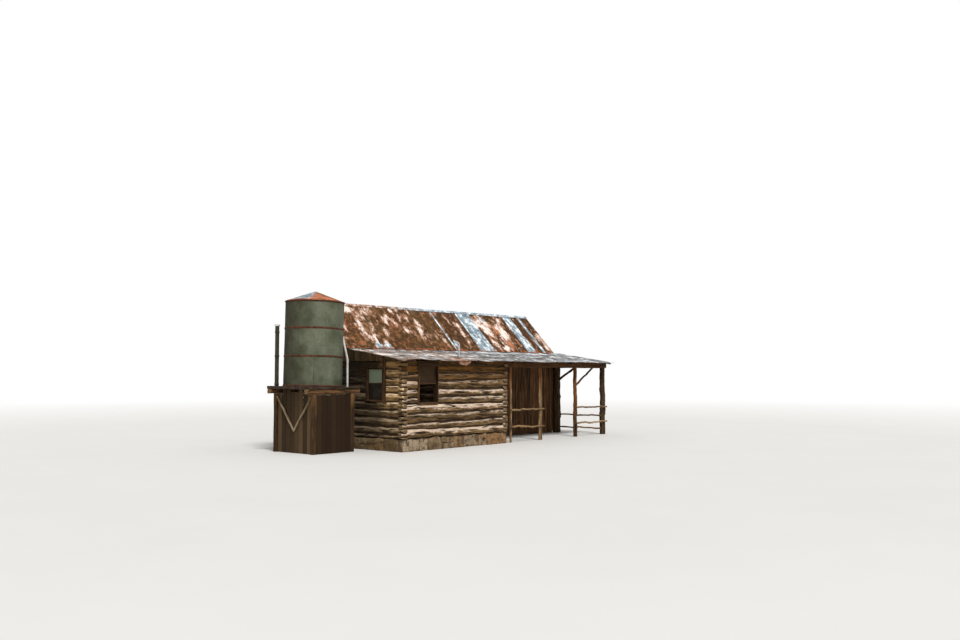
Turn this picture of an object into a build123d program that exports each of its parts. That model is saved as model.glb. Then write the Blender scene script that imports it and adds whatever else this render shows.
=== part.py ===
from build123d import *
import math
import os

os.makedirs("parts", exist_ok=True)

# Overall sizes, in millimetres
cabin_length = 9240
room_length = 4330
lean_to_depth = 1930
main_depth = 2306
wall_thickness = 160
base_height = 330
course = 217
room_courses = 9
back_courses = 11
log_end = 30
hewn_edge = 24

# Low roof over the room and the porch
low_roof_length = 9750
low_roof_overhang = 300
low_eave_height = 2400
low_roof_slope = 0.152
sheet_thickness = 18
low_rafter_depth = 50

# Steep roof over the main block
steep_angle = 46
steep_overhang = 60
steep_eave_drop = 50
steep_rafter_depth = 100

# Windows
front_window_left = 560
front_window_width = 800
side_window_start = 740
side_window_width = 680
frame_board = 60

# Doorway from the porch
door_gap = 1020
door_width = 900
door_height = 2000

# Porch, with places counted from the walls and the roof's ends
thin_post_radius = 38
pair_post_radius = 35
middle_post_radius = 62
end_post_radius = 95
corner_post_radius = 140
thin_post_gap = 250
pair_post_gap = 1678
middle_post_inset = 1770
end_post_inset = 105
corner_post_gap = 135
header_drop = 165
rail_radius = 28
upper_rail_height = 965
lower_rail_height = 440

# Water tank and its stand
tank_radius = 775
tank_height = 2250
tank_bottom_height = 1710
tank_cone_rise = 280
tank_lean = 1.4
tank_centre_x = -1310
tank_centre_y = 2065
tank_wall = 6
deck_side = 1700
deck_centre_y = 2000
deck_thickness = 60
stand_reach = 2200

# The middle of the plan is the origin, so every place is counted from these two
left_x = stand_reach - (stand_reach + low_roof_length) / 2
back_overhang = 150
plan_depth = low_roof_overhang + lean_to_depth + main_depth + back_overhang
front_y = low_roof_overhang - plan_depth / 2

right_x = left_x + cabin_length
room_right_x = left_x + room_length
junction_y = front_y + lean_to_depth
back_y = junction_y + main_depth
wall_top = base_height + room_courses * course
side_top = wall_top + course / 2

ridge_y = (junction_y - steep_eave_drop + back_y + back_overhang) / 2
steep_rise = math.tan(math.radians(steep_angle))
steep_front_y = junction_y - steep_eave_drop
steep_back_y = back_y + back_overhang


def low_roof_under(y):
    return low_eave_height + low_roof_slope * (y - front_y + low_roof_overhang)


steep_eave_height = low_roof_under(steep_front_y) + sheet_thickness


def steep_roof_under(y):
    return steep_eave_height + steep_rise * min(y - steep_front_y, steep_back_y - y)


def block(x_span, y_span, z_span, mode=Mode.ADD):
    """Box between three pairs of places."""
    with BuildSketch(Plane.XY.offset(z_span[0])) as outline:
        with Locations((sum(x_span) / 2, sum(y_span) / 2)):
            Rectangle(x_span[1] - x_span[0], y_span[1] - y_span[0])
    extrude(outline.sketch, amount=z_span[1] - z_span[0], mode=mode)


def prism_along_x(x_span, corners):
    """Flat shape given as (y, z) corners, running from one x to another."""
    with BuildSketch(Plane.YZ.offset(x_span[0])) as outline:
        Polygon(*corners, align=None)
    extrude(outline.sketch, amount=x_span[1] - x_span[0])


def prism_along_y(y_span, corners):
    """Flat shape given as (x, z) corners, running from one y to another."""
    with BuildSketch(Plane.XZ.offset(-y_span[1])) as outline:
        Polygon(*corners, align=None)
    extrude(outline.sketch, amount=y_span[1] - y_span[0])


def pole(radius, start, end):
    """Round pole between two points."""
    axis = Vector(*end) - Vector(*start)
    with BuildSketch(Plane(origin=start, z_dir=axis)) as outline:
        Circle(radius)
    extrude(outline.sketch, amount=axis.length)


def log_section(face, levels):
    """Outline corners of hewn logs that lie on one another, from their edge levels."""
    inner = face + wall_thickness
    rising = []
    falling = []
    for low, high in zip(levels[:-1], levels[1:]):
        rising += [(face + hewn_edge, low), (face, low + hewn_edge)]
        rising += [(face, high - hewn_edge), (face + hewn_edge, high)]
        falling += [(inner - hewn_edge, low), (inner, low + hewn_edge)]
        falling += [(inner, high - hewn_edge), (inner - hewn_edge, high)]
    outline = []
    for corner in rising + falling[::-1]:
        if corner not in outline:
            outline.append(corner)
    return outline


def logs_along_x(x_span, face, levels):
    prism_along_x(x_span, log_section(face, levels))


def logs_along_y(y_span, face, levels):
    prism_along_y(y_span, log_section(face, levels))


def notch(x_span, y_span, joints, z_span):
    """Square notches, half a course high, centred on each joint between courses."""
    for level in joints:
        low = max(level - course / 4, z_span[0])
        high = min(level + course / 4, z_span[1])
        if high > low:
            block(x_span, y_span, (low, high), Mode.SUBTRACT)


def course_levels(first, count):
    return [first + course * step for step in range(count + 1)]


# Walls, from their outer faces
wall_outer_x = (left_x, left_x + wall_thickness)
room_end_x = (room_right_x - wall_thickness, room_right_x)
right_wall_x = (right_x - wall_thickness, right_x)
front_wall_y = (front_y, front_y + wall_thickness)
back_wall_y = (back_y - wall_thickness, back_y)
front_joints = course_levels(base_height, back_courses)
side_first = base_height + course / 2
side_joints = [base_height] + course_levels(side_first, room_courses)

# Stone footings
with BuildPart() as long_footings:
    block((left_x, room_right_x), front_wall_y, (0, base_height))
    block((left_x, right_x), back_wall_y, (0, base_height))
long_footings.part.label = "long_footings"
export_step(long_footings.part, "parts/long_footings.step")

with BuildPart() as cross_footings:
    block(wall_outer_x, (front_wall_y[1], back_wall_y[0]), (0, base_height))
    block(room_end_x, (front_wall_y[1], junction_y), (0, base_height))
    block(right_wall_x, (junction_y, back_wall_y[0]), (0, base_height))
cross_footings.part.label = "cross_footings"
export_step(cross_footings.part, "parts/cross_footings.step")

# Front log wall, around the window
sill_level = front_joints[4]
front_log_ends = (left_x - log_end, room_right_x + log_end)
front_window_x = (left_x + front_window_left, left_x + front_window_left + front_window_width)

front_crossings = (wall_outer_x, room_end_x)
front_plate_corners = [
    (front_wall_y[0], wall_top),
    (front_wall_y[1], wall_top),
    (front_wall_y[1], low_roof_under(front_wall_y[1]) - low_rafter_depth),
    (front_wall_y[0], low_roof_under(front_wall_y[0]) - low_rafter_depth),
]

with BuildPart() as front_wall_long_logs:
    logs_along_x(front_log_ends, front_y, front_joints[:5])
    prism_along_x(front_log_ends, front_plate_corners)
    for crossing in front_crossings:
        notch(crossing, front_wall_y, front_joints[:5], (base_height, sill_level))
        block(crossing, front_wall_y, (wall_top, wall_top + course / 4), Mode.SUBTRACT)
front_wall_long_logs.part.label = "front_wall_long_logs"
export_step(front_wall_long_logs.part, "parts/front_wall_long_logs.step")

with BuildPart() as front_wall_window_logs:
    logs_along_x((front_log_ends[0], front_window_x[0]), front_y, front_joints[4:10])
    logs_along_x((front_window_x[1], front_log_ends[1]), front_y, front_joints[4:10])
    for crossing in front_crossings:
        notch(crossing, front_wall_y, front_joints[4:10], (sill_level, wall_top))
front_wall_window_logs.part.label = "front_wall_window_logs"
export_step(front_wall_window_logs.part, "parts/front_wall_window_logs.step")

# Left log wall, around its window
side_window_y = (front_y + side_window_start, front_y + side_window_start + side_window_width)
left_log_ends = (front_y - log_end, back_y + log_end)
side_sill_level = side_joints[5]
side_head_level = side_joints[9]
left_crossings = (front_wall_y, back_wall_y)

with BuildPart() as left_wall_long_logs:
    logs_along_y(left_log_ends, left_x, side_joints[:6])
    logs_along_y(left_log_ends, left_x, side_joints[9:11])
    for crossing in left_crossings:
        notch(wall_outer_x, crossing, side_joints[1:6], (base_height, side_sill_level))
        notch(wall_outer_x, crossing, side_joints[9:11], (side_head_level, side_top))
left_wall_long_logs.part.label = "left_wall_long_logs"
export_step(left_wall_long_logs.part, "parts/left_wall_long_logs.step")

with BuildPart() as left_wall_window_logs:
    logs_along_y((left_log_ends[0], side_window_y[0]), left_x, side_joints[5:10])
    logs_along_y((side_window_y[1], left_log_ends[1]), left_x, side_joints[5:10])
    for crossing in left_crossings:
        notch(wall_outer_x, crossing, side_joints[5:10], (side_sill_level, side_head_level))
left_wall_window_logs.part.label = "left_wall_window_logs"
export_step(left_wall_window_logs.part, "parts/left_wall_window_logs.step")

# Log wall between the room and the porch
with BuildPart() as room_end_wall_logs:
    logs_along_y((left_log_ends[0], junction_y), room_end_x[0], side_joints)
    notch(room_end_x, front_wall_y, side_joints[1:], (base_height, side_top))
room_end_wall_logs.part.label = "room_end_wall_logs"
export_step(room_end_wall_logs.part, "parts/room_end_wall_logs.step")

# Right log wall of the main block
with BuildPart() as right_wall_logs:
    logs_along_y((junction_y, left_log_ends[1]), right_wall_x[0], side_joints)
    notch(right_wall_x, back_wall_y, side_joints[1:], (base_height, side_top))
right_wall_logs.part.label = "right_wall_logs"
export_step(right_wall_logs.part, "parts/right_wall_logs.step")

# Back log wall, up to the steep roof
back_log_ends = (left_x - log_end, right_x + log_end)
back_top = base_height + back_courses * course
with BuildPart() as back_wall_logs:
    logs_along_x(back_log_ends, back_wall_y[0], front_joints)
    for crossing in (wall_outer_x, right_wall_x):
        notch(crossing, back_wall_y, front_joints[:room_courses + 1], (base_height, side_top))
back_wall_logs.part.label = "back_wall_logs"
export_step(back_wall_logs.part, "parts/back_wall_logs.step")


def bevelled_beam(x_span, y_span, bottom, top_of, depth):
    """Beam with its top cut to the slope of the rafters on it."""
    corners = [(y_span[0], bottom), (y_span[1], bottom)]
    corners += [(y_span[1], top_of(y_span[1]) - depth), (y_span[0], top_of(y_span[0]) - depth)]
    prism_along_x(x_span, corners)


with BuildPart() as back_wall_plate:
    bevelled_beam(back_log_ends, back_wall_y, back_top, steep_roof_under, steep_rafter_depth)
back_wall_plate.part.label = "back_wall_plate"
export_step(back_wall_plate.part, "parts/back_wall_plate.step")

# Beams where the two roofs meet, and the posts under them
gable_inset = 30
gable_board = 30
left_gable_x = (left_x + gable_inset, left_x + gable_inset + gable_board)
right_gable_x = (right_x - gable_inset - gable_board, right_x - gable_inset)
board_thickness = 25
post_side = 120
beam_y = (junction_y + board_thickness, junction_y + board_thickness + post_side)
beam_bottom = low_eave_height + 160
inside_x = (left_gable_x[1], right_gable_x[0])
ledger_x = (left_gable_x[1], left_x + low_roof_length - 50)
ledger_y = (junction_y - 50, junction_y)
with BuildPart() as junction_beams:
    bevelled_beam(inside_x, beam_y, beam_bottom, steep_roof_under, steep_rafter_depth)
    bevelled_beam(ledger_x, ledger_y, beam_bottom, low_roof_under, low_rafter_depth)
junction_beams.part.label = "junction_beams"
export_step(junction_beams.part, "parts/junction_beams.step")

door_x = (room_right_x + door_gap, room_right_x + door_gap + door_width)
floor_top = base_height + 40
with BuildPart() as junction_posts:
    middle_posts = ((left_x + room_right_x) / 2, (door_x[1] + right_x) / 2)
    for post_x in (*middle_posts, room_right_x - 40, door_x[0] - post_side, door_x[1]):
        block((post_x, post_x + post_side), beam_y, (floor_top, beam_bottom))
    for stud_x in (left_gable_x[1], right_gable_x[0] - 80):
        block((stud_x, stud_x + 80), beam_y, (side_top, beam_bottom))
junction_posts.part.label = "junction_posts"
export_step(junction_posts.part, "parts/junction_posts.step")

# Board wall at the back of the porch, with its doorway
board_y = (junction_y, junction_y + board_thickness)
board_bottom = 60
board_top = low_roof_under(junction_y) - low_rafter_depth - 20
with BuildPart() as porch_wall_boards:
    block((room_right_x, door_x[0]), board_y, (board_bottom, board_top))
    block((door_x[1], right_wall_x[0]), board_y, (board_bottom, board_top))
porch_wall_boards.part.label = "porch_wall_boards"
export_step(porch_wall_boards.part, "parts/porch_wall_boards.step")

door_head = floor_top + door_height
with BuildPart() as porch_wall_over_door:
    block(door_x, board_y, (door_head, board_top))
porch_wall_over_door.part.label = "porch_wall_over_door"
export_step(porch_wall_over_door.part, "parts/porch_wall_over_door.step")

# Floors
with BuildPart() as floor_sill:
    block((wall_outer_x[1], right_wall_x[0]), beam_y, (0, floor_top))
floor_sill.part.label = "floor_sill"
export_step(floor_sill.part, "parts/floor_sill.step")

with BuildPart() as floor_boards:
    room_floor_x = (wall_outer_x[1], room_end_x[0])
    main_floor_x = (wall_outer_x[1], right_wall_x[0])
    block(room_floor_x, (front_wall_y[1], beam_y[0]), (base_height, floor_top))
    block(main_floor_x, (beam_y[1], back_wall_y[0]), (base_height, floor_top))
floor_boards.part.label = "floor_boards"
export_step(floor_boards.part, "parts/floor_boards.step")

# Window frames, the raised sash of the front window, and the panes
front_hole_x = (front_window_x[0] + frame_board, front_window_x[1] - frame_board)
front_hole_z = (sill_level + 85, wall_top - 30)
side_hole_y = (side_window_y[0] + frame_board, side_window_y[1] - frame_board)
side_hole_z = (side_sill_level + 50, side_head_level - 40)
frame_stand = 12
with BuildPart() as window_frames:
    frame_y = (front_y - frame_stand, front_wall_y[1])
    frame_x = (left_x - frame_stand, wall_outer_x[1])
    block(front_window_x, frame_y, (sill_level, wall_top))
    block(front_hole_x, frame_y, front_hole_z, Mode.SUBTRACT)
    block(frame_x, side_window_y, (side_sill_level, side_head_level))
    block(frame_x, side_hole_y, side_hole_z, Mode.SUBTRACT)
window_frames.part.label = "window_frames"
export_step(window_frames.part, "parts/window_frames.step")

sash_bar = 42
sash_y = (front_y + 35, front_y + 70)
sash_z = (sum(front_hole_z) / 2, front_hole_z[1])
sash_glass_x = (front_hole_x[0] + sash_bar, front_hole_x[1] - sash_bar)
sash_glass_z = (sash_z[0] + sash_bar, sash_z[1] - sash_bar)
with BuildPart() as front_window_sash:
    block(front_hole_x, sash_y, sash_z)
    block(sash_glass_x, sash_y, sash_glass_z, Mode.SUBTRACT)
front_window_sash.part.label = "front_window_sash"
export_step(front_window_sash.part, "parts/front_window_sash.step")

pane_thickness = 5
with BuildPart() as window_panes:
    pane_y = (sash_y[0] + 15, sash_y[0] + 15 + pane_thickness)
    pane_x = (left_x + 30, left_x + 30 + pane_thickness)
    block(sash_glass_x, pane_y, sash_glass_z)
    block(pane_x, side_hole_y, side_hole_z)
window_panes.part.label = "window_panes"
export_step(window_panes.part, "parts/window_panes.step")

# Boards that close the ends under the roofs
def lean_to_corners(end_y):
    return [
        (front_wall_y[1], side_top),
        (end_y, side_top),
        (end_y, low_roof_under(end_y)),
        (front_wall_y[1], low_roof_under(front_wall_y[1])),
    ]


gable_corners = [
    (beam_y[0], side_top),
    (back_wall_y[0], side_top),
    (back_wall_y[0], steep_roof_under(back_wall_y[0])),
    (ridge_y, steep_roof_under(ridge_y)),
    (beam_y[0], steep_roof_under(beam_y[0])),
]
room_board_x = (room_right_x - gable_inset - gable_board, room_right_x - gable_inset)
with BuildPart() as lean_to_end_boards:
    prism_along_x(left_gable_x, lean_to_corners(beam_y[0]))
    prism_along_x(room_board_x, lean_to_corners(ledger_y[0]))
lean_to_end_boards.part.label = "lean_to_end_boards"
export_step(lean_to_end_boards.part, "parts/lean_to_end_boards.step")

with BuildPart() as gable_boards:
    prism_along_x(left_gable_x, gable_corners)
    prism_along_x(right_gable_x, gable_corners)
gable_boards.part.label = "gable_boards"
export_step(gable_boards.part, "parts/gable_boards.step")

# Rafters and roofs
low_rafter_width = 70
steep_rafter_width = 80
low_rafter_y = (front_y - low_roof_overhang + 60, ledger_y[1])
ridge_board_half = 20


def strip_corners(y_span, under, top_offset, bottom_offset):
    """Corners of a strip that follows a roof, between two heights over its underside."""
    return [
        (y_span[0], under(y_span[0]) + bottom_offset),
        (y_span[1], under(y_span[1]) + bottom_offset),
        (y_span[1], under(y_span[1]) + top_offset),
        (y_span[0], under(y_span[0]) + top_offset),
    ]


with BuildPart() as low_roof_rafters:
    strip = strip_corners(low_rafter_y, low_roof_under, 0, -low_rafter_depth)
    room_rafters = (wall_outer_x[1] + 5, room_end_x[0] - 5 - low_rafter_width, 5)
    porch_rafters = (room_right_x + 15, left_x + low_roof_length - 185, 6)
    for first_x, last_x, count in (room_rafters, porch_rafters):
        for step in range(count):
            rafter_x = first_x + (last_x - first_x) * step / (count - 1)
            prism_along_x((rafter_x, rafter_x + low_rafter_width), strip)
low_roof_rafters.part.label = "low_roof_rafters"
export_step(low_roof_rafters.part, "parts/low_roof_rafters.step")

front_rafter_y = (beam_y[0], ridge_y - ridge_board_half)
back_rafter_y = (ridge_y + ridge_board_half, steep_back_y - 60)
with BuildPart() as steep_roof_rafters:
    rafter_count = 8
    spacing = (inside_x[1] - inside_x[0] - steep_rafter_width) / (rafter_count - 1)
    for step in range(rafter_count):
        rafter_x = inside_x[0] + step * spacing
        for y_span in (front_rafter_y, back_rafter_y):
            strip = strip_corners(y_span, steep_roof_under, 0, -steep_rafter_depth)
            prism_along_x((rafter_x, rafter_x + steep_rafter_width), strip)
steep_roof_rafters.part.label = "steep_roof_rafters"
export_step(steep_roof_rafters.part, "parts/steep_roof_rafters.step")

with BuildPart() as ridge_board:
    ridge_top = steep_roof_under(ridge_y + ridge_board_half)
    ridge_board_y = (ridge_y - ridge_board_half, ridge_y + ridge_board_half)
    block(inside_x, ridge_board_y, (ridge_top - 160, ridge_top))
ridge_board.part.label = "ridge_board"
export_step(ridge_board.part, "parts/ridge_board.step")

steep_roof_x = (left_x - low_roof_overhang, right_x + steep_overhang)
steep_sheet_height = sheet_thickness / math.cos(math.radians(steep_angle))
with BuildPart() as steep_roof_front_sheets:
    sheet_y = (steep_front_y, ridge_y)
    prism_along_x(steep_roof_x, strip_corners(sheet_y, steep_roof_under, steep_sheet_height, 0))
steep_roof_front_sheets.part.label = "steep_roof_front_sheets"
export_step(steep_roof_front_sheets.part, "parts/steep_roof_front_sheets.step")

with BuildPart() as steep_roof_back_sheets:
    sheet_y = (ridge_y, steep_back_y)
    prism_along_x(steep_roof_x, strip_corners(sheet_y, steep_roof_under, steep_sheet_height, 0))
steep_roof_back_sheets.part.label = "steep_roof_back_sheets"
export_step(steep_roof_back_sheets.part, "parts/steep_roof_back_sheets.step")

cap_reach = 60
cap_thickness = 6
with BuildPart() as ridge_cap:
    cap_under = [
        (y, steep_roof_under(y) + steep_sheet_height)
        for y in (ridge_y - cap_reach, ridge_y, ridge_y + cap_reach)
    ]
    cap_over = [(y, z + cap_thickness) for y, z in reversed(cap_under)]
    prism_along_x((steep_roof_x[0] - 10, steep_roof_x[1] + 10), cap_under + cap_over)
ridge_cap.part.label = "ridge_cap"
export_step(ridge_cap.part, "parts/ridge_cap.step")

vent_radius = 32
vent_x = left_x + 2550
vent_y = front_y + 320
vent_top = low_roof_under(vent_y) + 400
low_roof_x = (left_x - low_roof_overhang, left_x + low_roof_length)
with BuildPart() as low_roof_sheets:
    sheet_y = (front_y - low_roof_overhang, junction_y + 20)
    prism_along_x(low_roof_x, strip_corners(sheet_y, low_roof_under, sheet_thickness, 0))
    with BuildSketch(Plane.XY.offset(low_eave_height)):
        with Locations((vent_x, vent_y)):
            Circle(vent_radius)
    extrude(amount=500, mode=Mode.SUBTRACT)
low_roof_sheets.part.label = "low_roof_sheets"
export_step(low_roof_sheets.part, "parts/low_roof_sheets.step")

with BuildPart() as vent_pipe:
    bend = (vent_x, vent_y, vent_top)
    mouth = (vent_x - 90, vent_y, vent_top + 55)
    pole(vent_radius, (vent_x, vent_y, low_roof_under(vent_y) - 145), bend)
    with Locations(bend):
        Sphere(vent_radius)
    pole(vent_radius, bend, mouth)
vent_pipe.part.label = "vent_pipe"
export_step(vent_pipe.part, "parts/vent_pipe.step")

# Porch posts, header, braces and rails
header_bottom = low_eave_height - header_drop
header_x = (front_log_ends[1], left_x + low_roof_length - 10)
header_y = (front_y + 10, front_y + 130)
with BuildPart() as porch_header:
    bevelled_beam(header_x, header_y, header_bottom, low_roof_under, low_rafter_depth)
porch_header.part.label = "porch_header"
export_step(porch_header.part, "parts/porch_header.step")

post_front_y = front_y + 25
thin_post = (room_right_x + thin_post_gap, thin_post_radius)
pair_post = (room_right_x + pair_post_gap, pair_post_radius)
second_post = (pair_post[0] + 2 * pair_post_radius + 5, pair_post_radius)
middle_post = (left_x + low_roof_length - middle_post_inset, middle_post_radius)
end_post = (left_x + low_roof_length - end_post_inset, end_post_radius)
corner_post = (right_x + corner_post_gap, junction_y - 80)
with BuildPart() as porch_posts:
    for post_x, radius in (thin_post, pair_post, second_post, middle_post, end_post):
        post_y = post_front_y + radius
        pole(radius, (post_x, post_y, 0), (post_x, post_y, header_bottom))
    pole(corner_post_radius, (*corner_post, 0), (*corner_post, beam_bottom))
porch_posts.part.label = "porch_posts"
export_step(porch_posts.part, "parts/porch_posts.step")

tie_y = (header_y[1], corner_post[1] - corner_post_radius)
with BuildPart() as porch_end_tie:
    tie_x = (corner_post[0] - 60, corner_post[0] + 60)
    block(tie_x, tie_y, (header_bottom, header_bottom + 120))
porch_end_tie.part.label = "porch_end_tie"
export_step(porch_end_tie.part, "parts/porch_end_tie.step")

with BuildPart() as porch_knee_braces:
    foot_x = middle_post[0] + middle_post[1]
    front_brace = [(foot_x, header_bottom - 595), (foot_x + 1060, header_bottom)]
    front_brace += [(foot_x + 940, header_bottom), (foot_x, header_bottom - 525)]
    brace_y = post_front_y + middle_post[1]
    prism_along_y((brace_y - 30, brace_y + 30), front_brace)
    foot_y = tie_y[1]
    end_brace = [(foot_y, header_bottom - 440), (foot_y, header_bottom - 355)]
    end_brace += [(foot_y - 580, header_bottom), (foot_y - 720, header_bottom)]
    prism_along_x((corner_post[0] - 30, corner_post[0] + 30), end_brace)
porch_knee_braces.part.label = "porch_knee_braces"
export_step(porch_knee_braces.part, "parts/porch_knee_braces.step")

rail_clearance = 0.3
with BuildPart() as porch_rails:
    rail_y = post_front_y - rail_radius - rail_clearance
    left_bay = (thin_post[0] - 60, second_post[0] + 80)
    right_bay = (middle_post[0] - 80, end_post[0] + 80)
    for bay, height, rise in (
        (left_bay, upper_rail_height, 0),
        (left_bay, lower_rail_height + 30, -40),
        (right_bay, upper_rail_height - 10, -25),
        (right_bay, lower_rail_height, 0),
    ):
        pole(rail_radius, (bay[0], rail_y, height), (bay[1], rail_y, height + rise))
    for height in (upper_rail_height - 335, lower_rail_height - 240):
        start_x = end_post[0] - end_post[1] - rail_radius - rail_clearance
        end_x = corner_post[0] + corner_post_radius + rail_radius + rail_clearance
        start = (start_x, post_front_y + end_post[1], height)
        end = (end_x, corner_post[1], height)
        pole(rail_radius, start, end)
porch_rails.part.label = "porch_rails"
export_step(porch_rails.part, "parts/porch_rails.step")

# Water tank
tank_x = left_x + tank_centre_x
tank_y = front_y + tank_centre_y


lean_angle = math.radians(tank_lean)
tank_up = Vector(math.sin(lean_angle), 0, math.cos(lean_angle))
tank_across = Vector(math.cos(lean_angle), 0, -math.sin(lean_angle))
tank_base = Vector(tank_x, tank_y, tank_bottom_height)


def tank_point(height):
    """Point on the tank's leaning centre line."""
    return tank_base + tank_up * height


def ring(inner, outer, bottom, height):
    """Round shell between two radii, or a disc where the inner one is 0, on the tank's line."""
    level = Plane(origin=tank_point(bottom), x_dir=tank_across, z_dir=tank_up)
    with BuildSketch(level) as outline:
        Circle(outer)
        if inner > 0:
            Circle(inner, mode=Mode.SUBTRACT)
    extrude(outline.sketch, amount=height)


with BuildPart() as tank_bottom:
    ring(0, tank_radius, 0, tank_wall)
tank_bottom.part.label = "tank_bottom"
export_step(tank_bottom.part, "parts/tank_bottom.step")

with BuildPart() as tank_shell:
    ring(tank_radius - tank_wall, tank_radius, tank_wall, tank_height - tank_wall)
tank_shell.part.label = "tank_shell"
export_step(tank_shell.part, "parts/tank_shell.step")

band_height = 26
band_thickness = 8
with BuildPart() as tank_bands:
    top_level = tank_height - band_height - 8
    for level in (0, tank_height * 0.345, tank_height * 0.672, top_level):
        ring(tank_radius, tank_radius + band_thickness, level, band_height)
tank_bands.part.label = "tank_bands"
export_step(tank_bands.part, "parts/tank_bands.step")

roof_reach = 25
cone_slope = tank_cone_rise / tank_radius
with BuildPart() as tank_roof:
    upright = Plane(origin=tank_point(tank_height), x_dir=tank_across, z_dir=(0, -1, 0))
    with BuildSketch(upright):
        with BuildLine():
            foot = (tank_radius + roof_reach, -cone_slope * roof_reach)
            Polyline(
                foot,
                (foot[0], foot[1] + tank_wall),
                (0, tank_cone_rise + tank_wall),
                (0, tank_cone_rise),
                close=True,
            )
        make_face()
    revolve(axis=Axis(tank_base, tank_up))
tank_roof.part.label = "tank_roof"
export_step(tank_roof.part, "parts/tank_roof.step")

# Timber stand under the tank
deck_x = (tank_x - deck_side / 2, tank_x + deck_side / 2)
deck_y = (front_y + deck_centre_y - deck_side / 2, front_y + deck_centre_y + deck_side / 2)
deck_bottom = tank_bottom_height - deck_thickness


def deck_top(x):
    return tank_bottom_height - (x - tank_x) * math.tan(lean_angle)


with BuildPart() as stand_deck:
    deck_section = [(deck_x[0], deck_bottom), (deck_x[1], deck_bottom)]
    deck_section += [(deck_x[1], deck_top(deck_x[1])), (deck_x[0], deck_top(deck_x[0]))]
    prism_along_y(deck_y, deck_section)
stand_deck.part.label = "stand_deck"
export_step(stand_deck.part, "parts/stand_deck.step")

stand_post = 140
post_inset_x = 145
post_inset_y = 20
beam_height = 120
stand_post_top = deck_bottom - beam_height
stand_post_x = (deck_x[0] + post_inset_x, deck_x[1] - post_inset_x - stand_post)
stand_post_y = (deck_y[0] + post_inset_y, deck_y[1] - post_inset_y - stand_post)
with BuildPart() as stand_beams:
    for beam_start in stand_post_y:
        beam_x = (left_x - stand_reach, deck_x[1] + 20)
        block(beam_x, (beam_start, beam_start + stand_post), (stand_post_top, deck_bottom))
stand_beams.part.label = "stand_beams"
export_step(stand_beams.part, "parts/stand_beams.step")

with BuildPart() as stand_posts:
    for post_x in stand_post_x:
        for start_y in stand_post_y:
            post_span = (start_y, start_y + stand_post)
            block((post_x, post_x + stand_post), post_span, (0, stand_post_top))
stand_posts.part.label = "stand_posts"
export_step(stand_posts.part, "parts/stand_posts.step")

side_board_x = (stand_post_x[0] + 60, stand_post_x[0] + 85)
side_board_y = (stand_post_y[0] + stand_post, stand_post_y[1])
front_board_x = (stand_post_x[0] + stand_post, stand_post_x[1])
front_board_y = (stand_post_y[0] + 20, stand_post_y[0] + 45)
with BuildPart() as stand_boards:
    block(side_board_x, side_board_y, (0, stand_post_top))
    block(front_board_x, front_board_y, (0, stand_post_top))
stand_boards.part.label = "stand_boards"
export_step(stand_boards.part, "parts/stand_boards.step")

with BuildPart() as stand_braces:
    brace_x = (side_board_x[0] - 40, side_board_x[0])
    brace_meet_y = (side_board_y[0] + side_board_y[1]) / 2
    brace_foot = stand_post_top * 0.34
    brace_head = stand_post_top - 130
    for start_y in side_board_y:
        leg = [(start_y, brace_head), (brace_meet_y, brace_foot)]
        leg += [(brace_meet_y, brace_foot + 110), (start_y, brace_head + 110)]
        prism_along_x(brace_x, leg)
stand_braces.part.label = "stand_braces"
export_step(stand_braces.part, "parts/stand_braces.step")

# Pipes at the tank
pipe_radius = 55
pipe_rise = 1580
with BuildPart() as standing_pipe:
    pipe_place = (deck_x[0] + 150, deck_y[1] - 160)
    pipe_foot = deck_top(pipe_place[0] - pipe_radius)
    pipe_top = pipe_foot + pipe_rise
    pole(pipe_radius, (*pipe_place, pipe_foot), (*pipe_place, pipe_top))
standing_pipe.part.label = "standing_pipe"
export_step(standing_pipe.part, "parts/standing_pipe.step")

with BuildPart() as pipe_cap:
    pole(pipe_radius + 18, (*pipe_place, pipe_top), (*pipe_place, pipe_top + 45))
pipe_cap.part.label = "pipe_cap"
export_step(pipe_cap.part, "parts/pipe_cap.step")

down_radius = 30
down_height = tank_height * 0.6
down_angle = math.radians(-19)
down_seat = 0.3
down_reach = tank_radius + down_radius - down_seat
with BuildPart() as tank_downpipe:
    centre = tank_point(down_height)
    start_x = centre.X + down_reach * math.cos(down_angle)
    start_y = centre.Y + down_reach * math.sin(down_angle)
    down_bend = (deck_x[1] + 60, start_y - 80, centre.Z - 630)
    pole(down_radius, (start_x, start_y, centre.Z), down_bend)
    with Locations(down_bend):
        Sphere(down_radius)
    pole(down_radius, down_bend, (down_bend[0], down_bend[1], 0))
tank_downpipe.part.label = "tank_downpipe"
export_step(tank_downpipe.part, "parts/tank_downpipe.step")
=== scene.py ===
import math
import random

import bmesh
import bpy
from mathutils import Matrix, Vector, noise


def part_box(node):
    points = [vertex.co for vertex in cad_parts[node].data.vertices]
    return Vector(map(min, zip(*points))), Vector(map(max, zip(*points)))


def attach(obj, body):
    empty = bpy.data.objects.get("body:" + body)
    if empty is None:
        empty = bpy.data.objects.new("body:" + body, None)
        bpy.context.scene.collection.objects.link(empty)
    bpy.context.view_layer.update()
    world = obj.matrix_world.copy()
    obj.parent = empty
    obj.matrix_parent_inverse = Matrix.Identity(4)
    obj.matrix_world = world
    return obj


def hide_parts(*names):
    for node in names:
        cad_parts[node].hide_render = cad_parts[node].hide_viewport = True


noise.seed_set(1)  # without it the stones and boards differ a little from run to run

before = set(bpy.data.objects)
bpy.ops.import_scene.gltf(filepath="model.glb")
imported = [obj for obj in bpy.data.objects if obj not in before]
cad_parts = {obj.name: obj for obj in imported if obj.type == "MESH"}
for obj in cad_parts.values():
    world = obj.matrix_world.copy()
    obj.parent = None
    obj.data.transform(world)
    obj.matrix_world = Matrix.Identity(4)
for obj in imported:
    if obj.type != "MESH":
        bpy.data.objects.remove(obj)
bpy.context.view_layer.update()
scene = bpy.context.scene
print("frame loaded:", len(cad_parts), "nodes")

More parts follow.
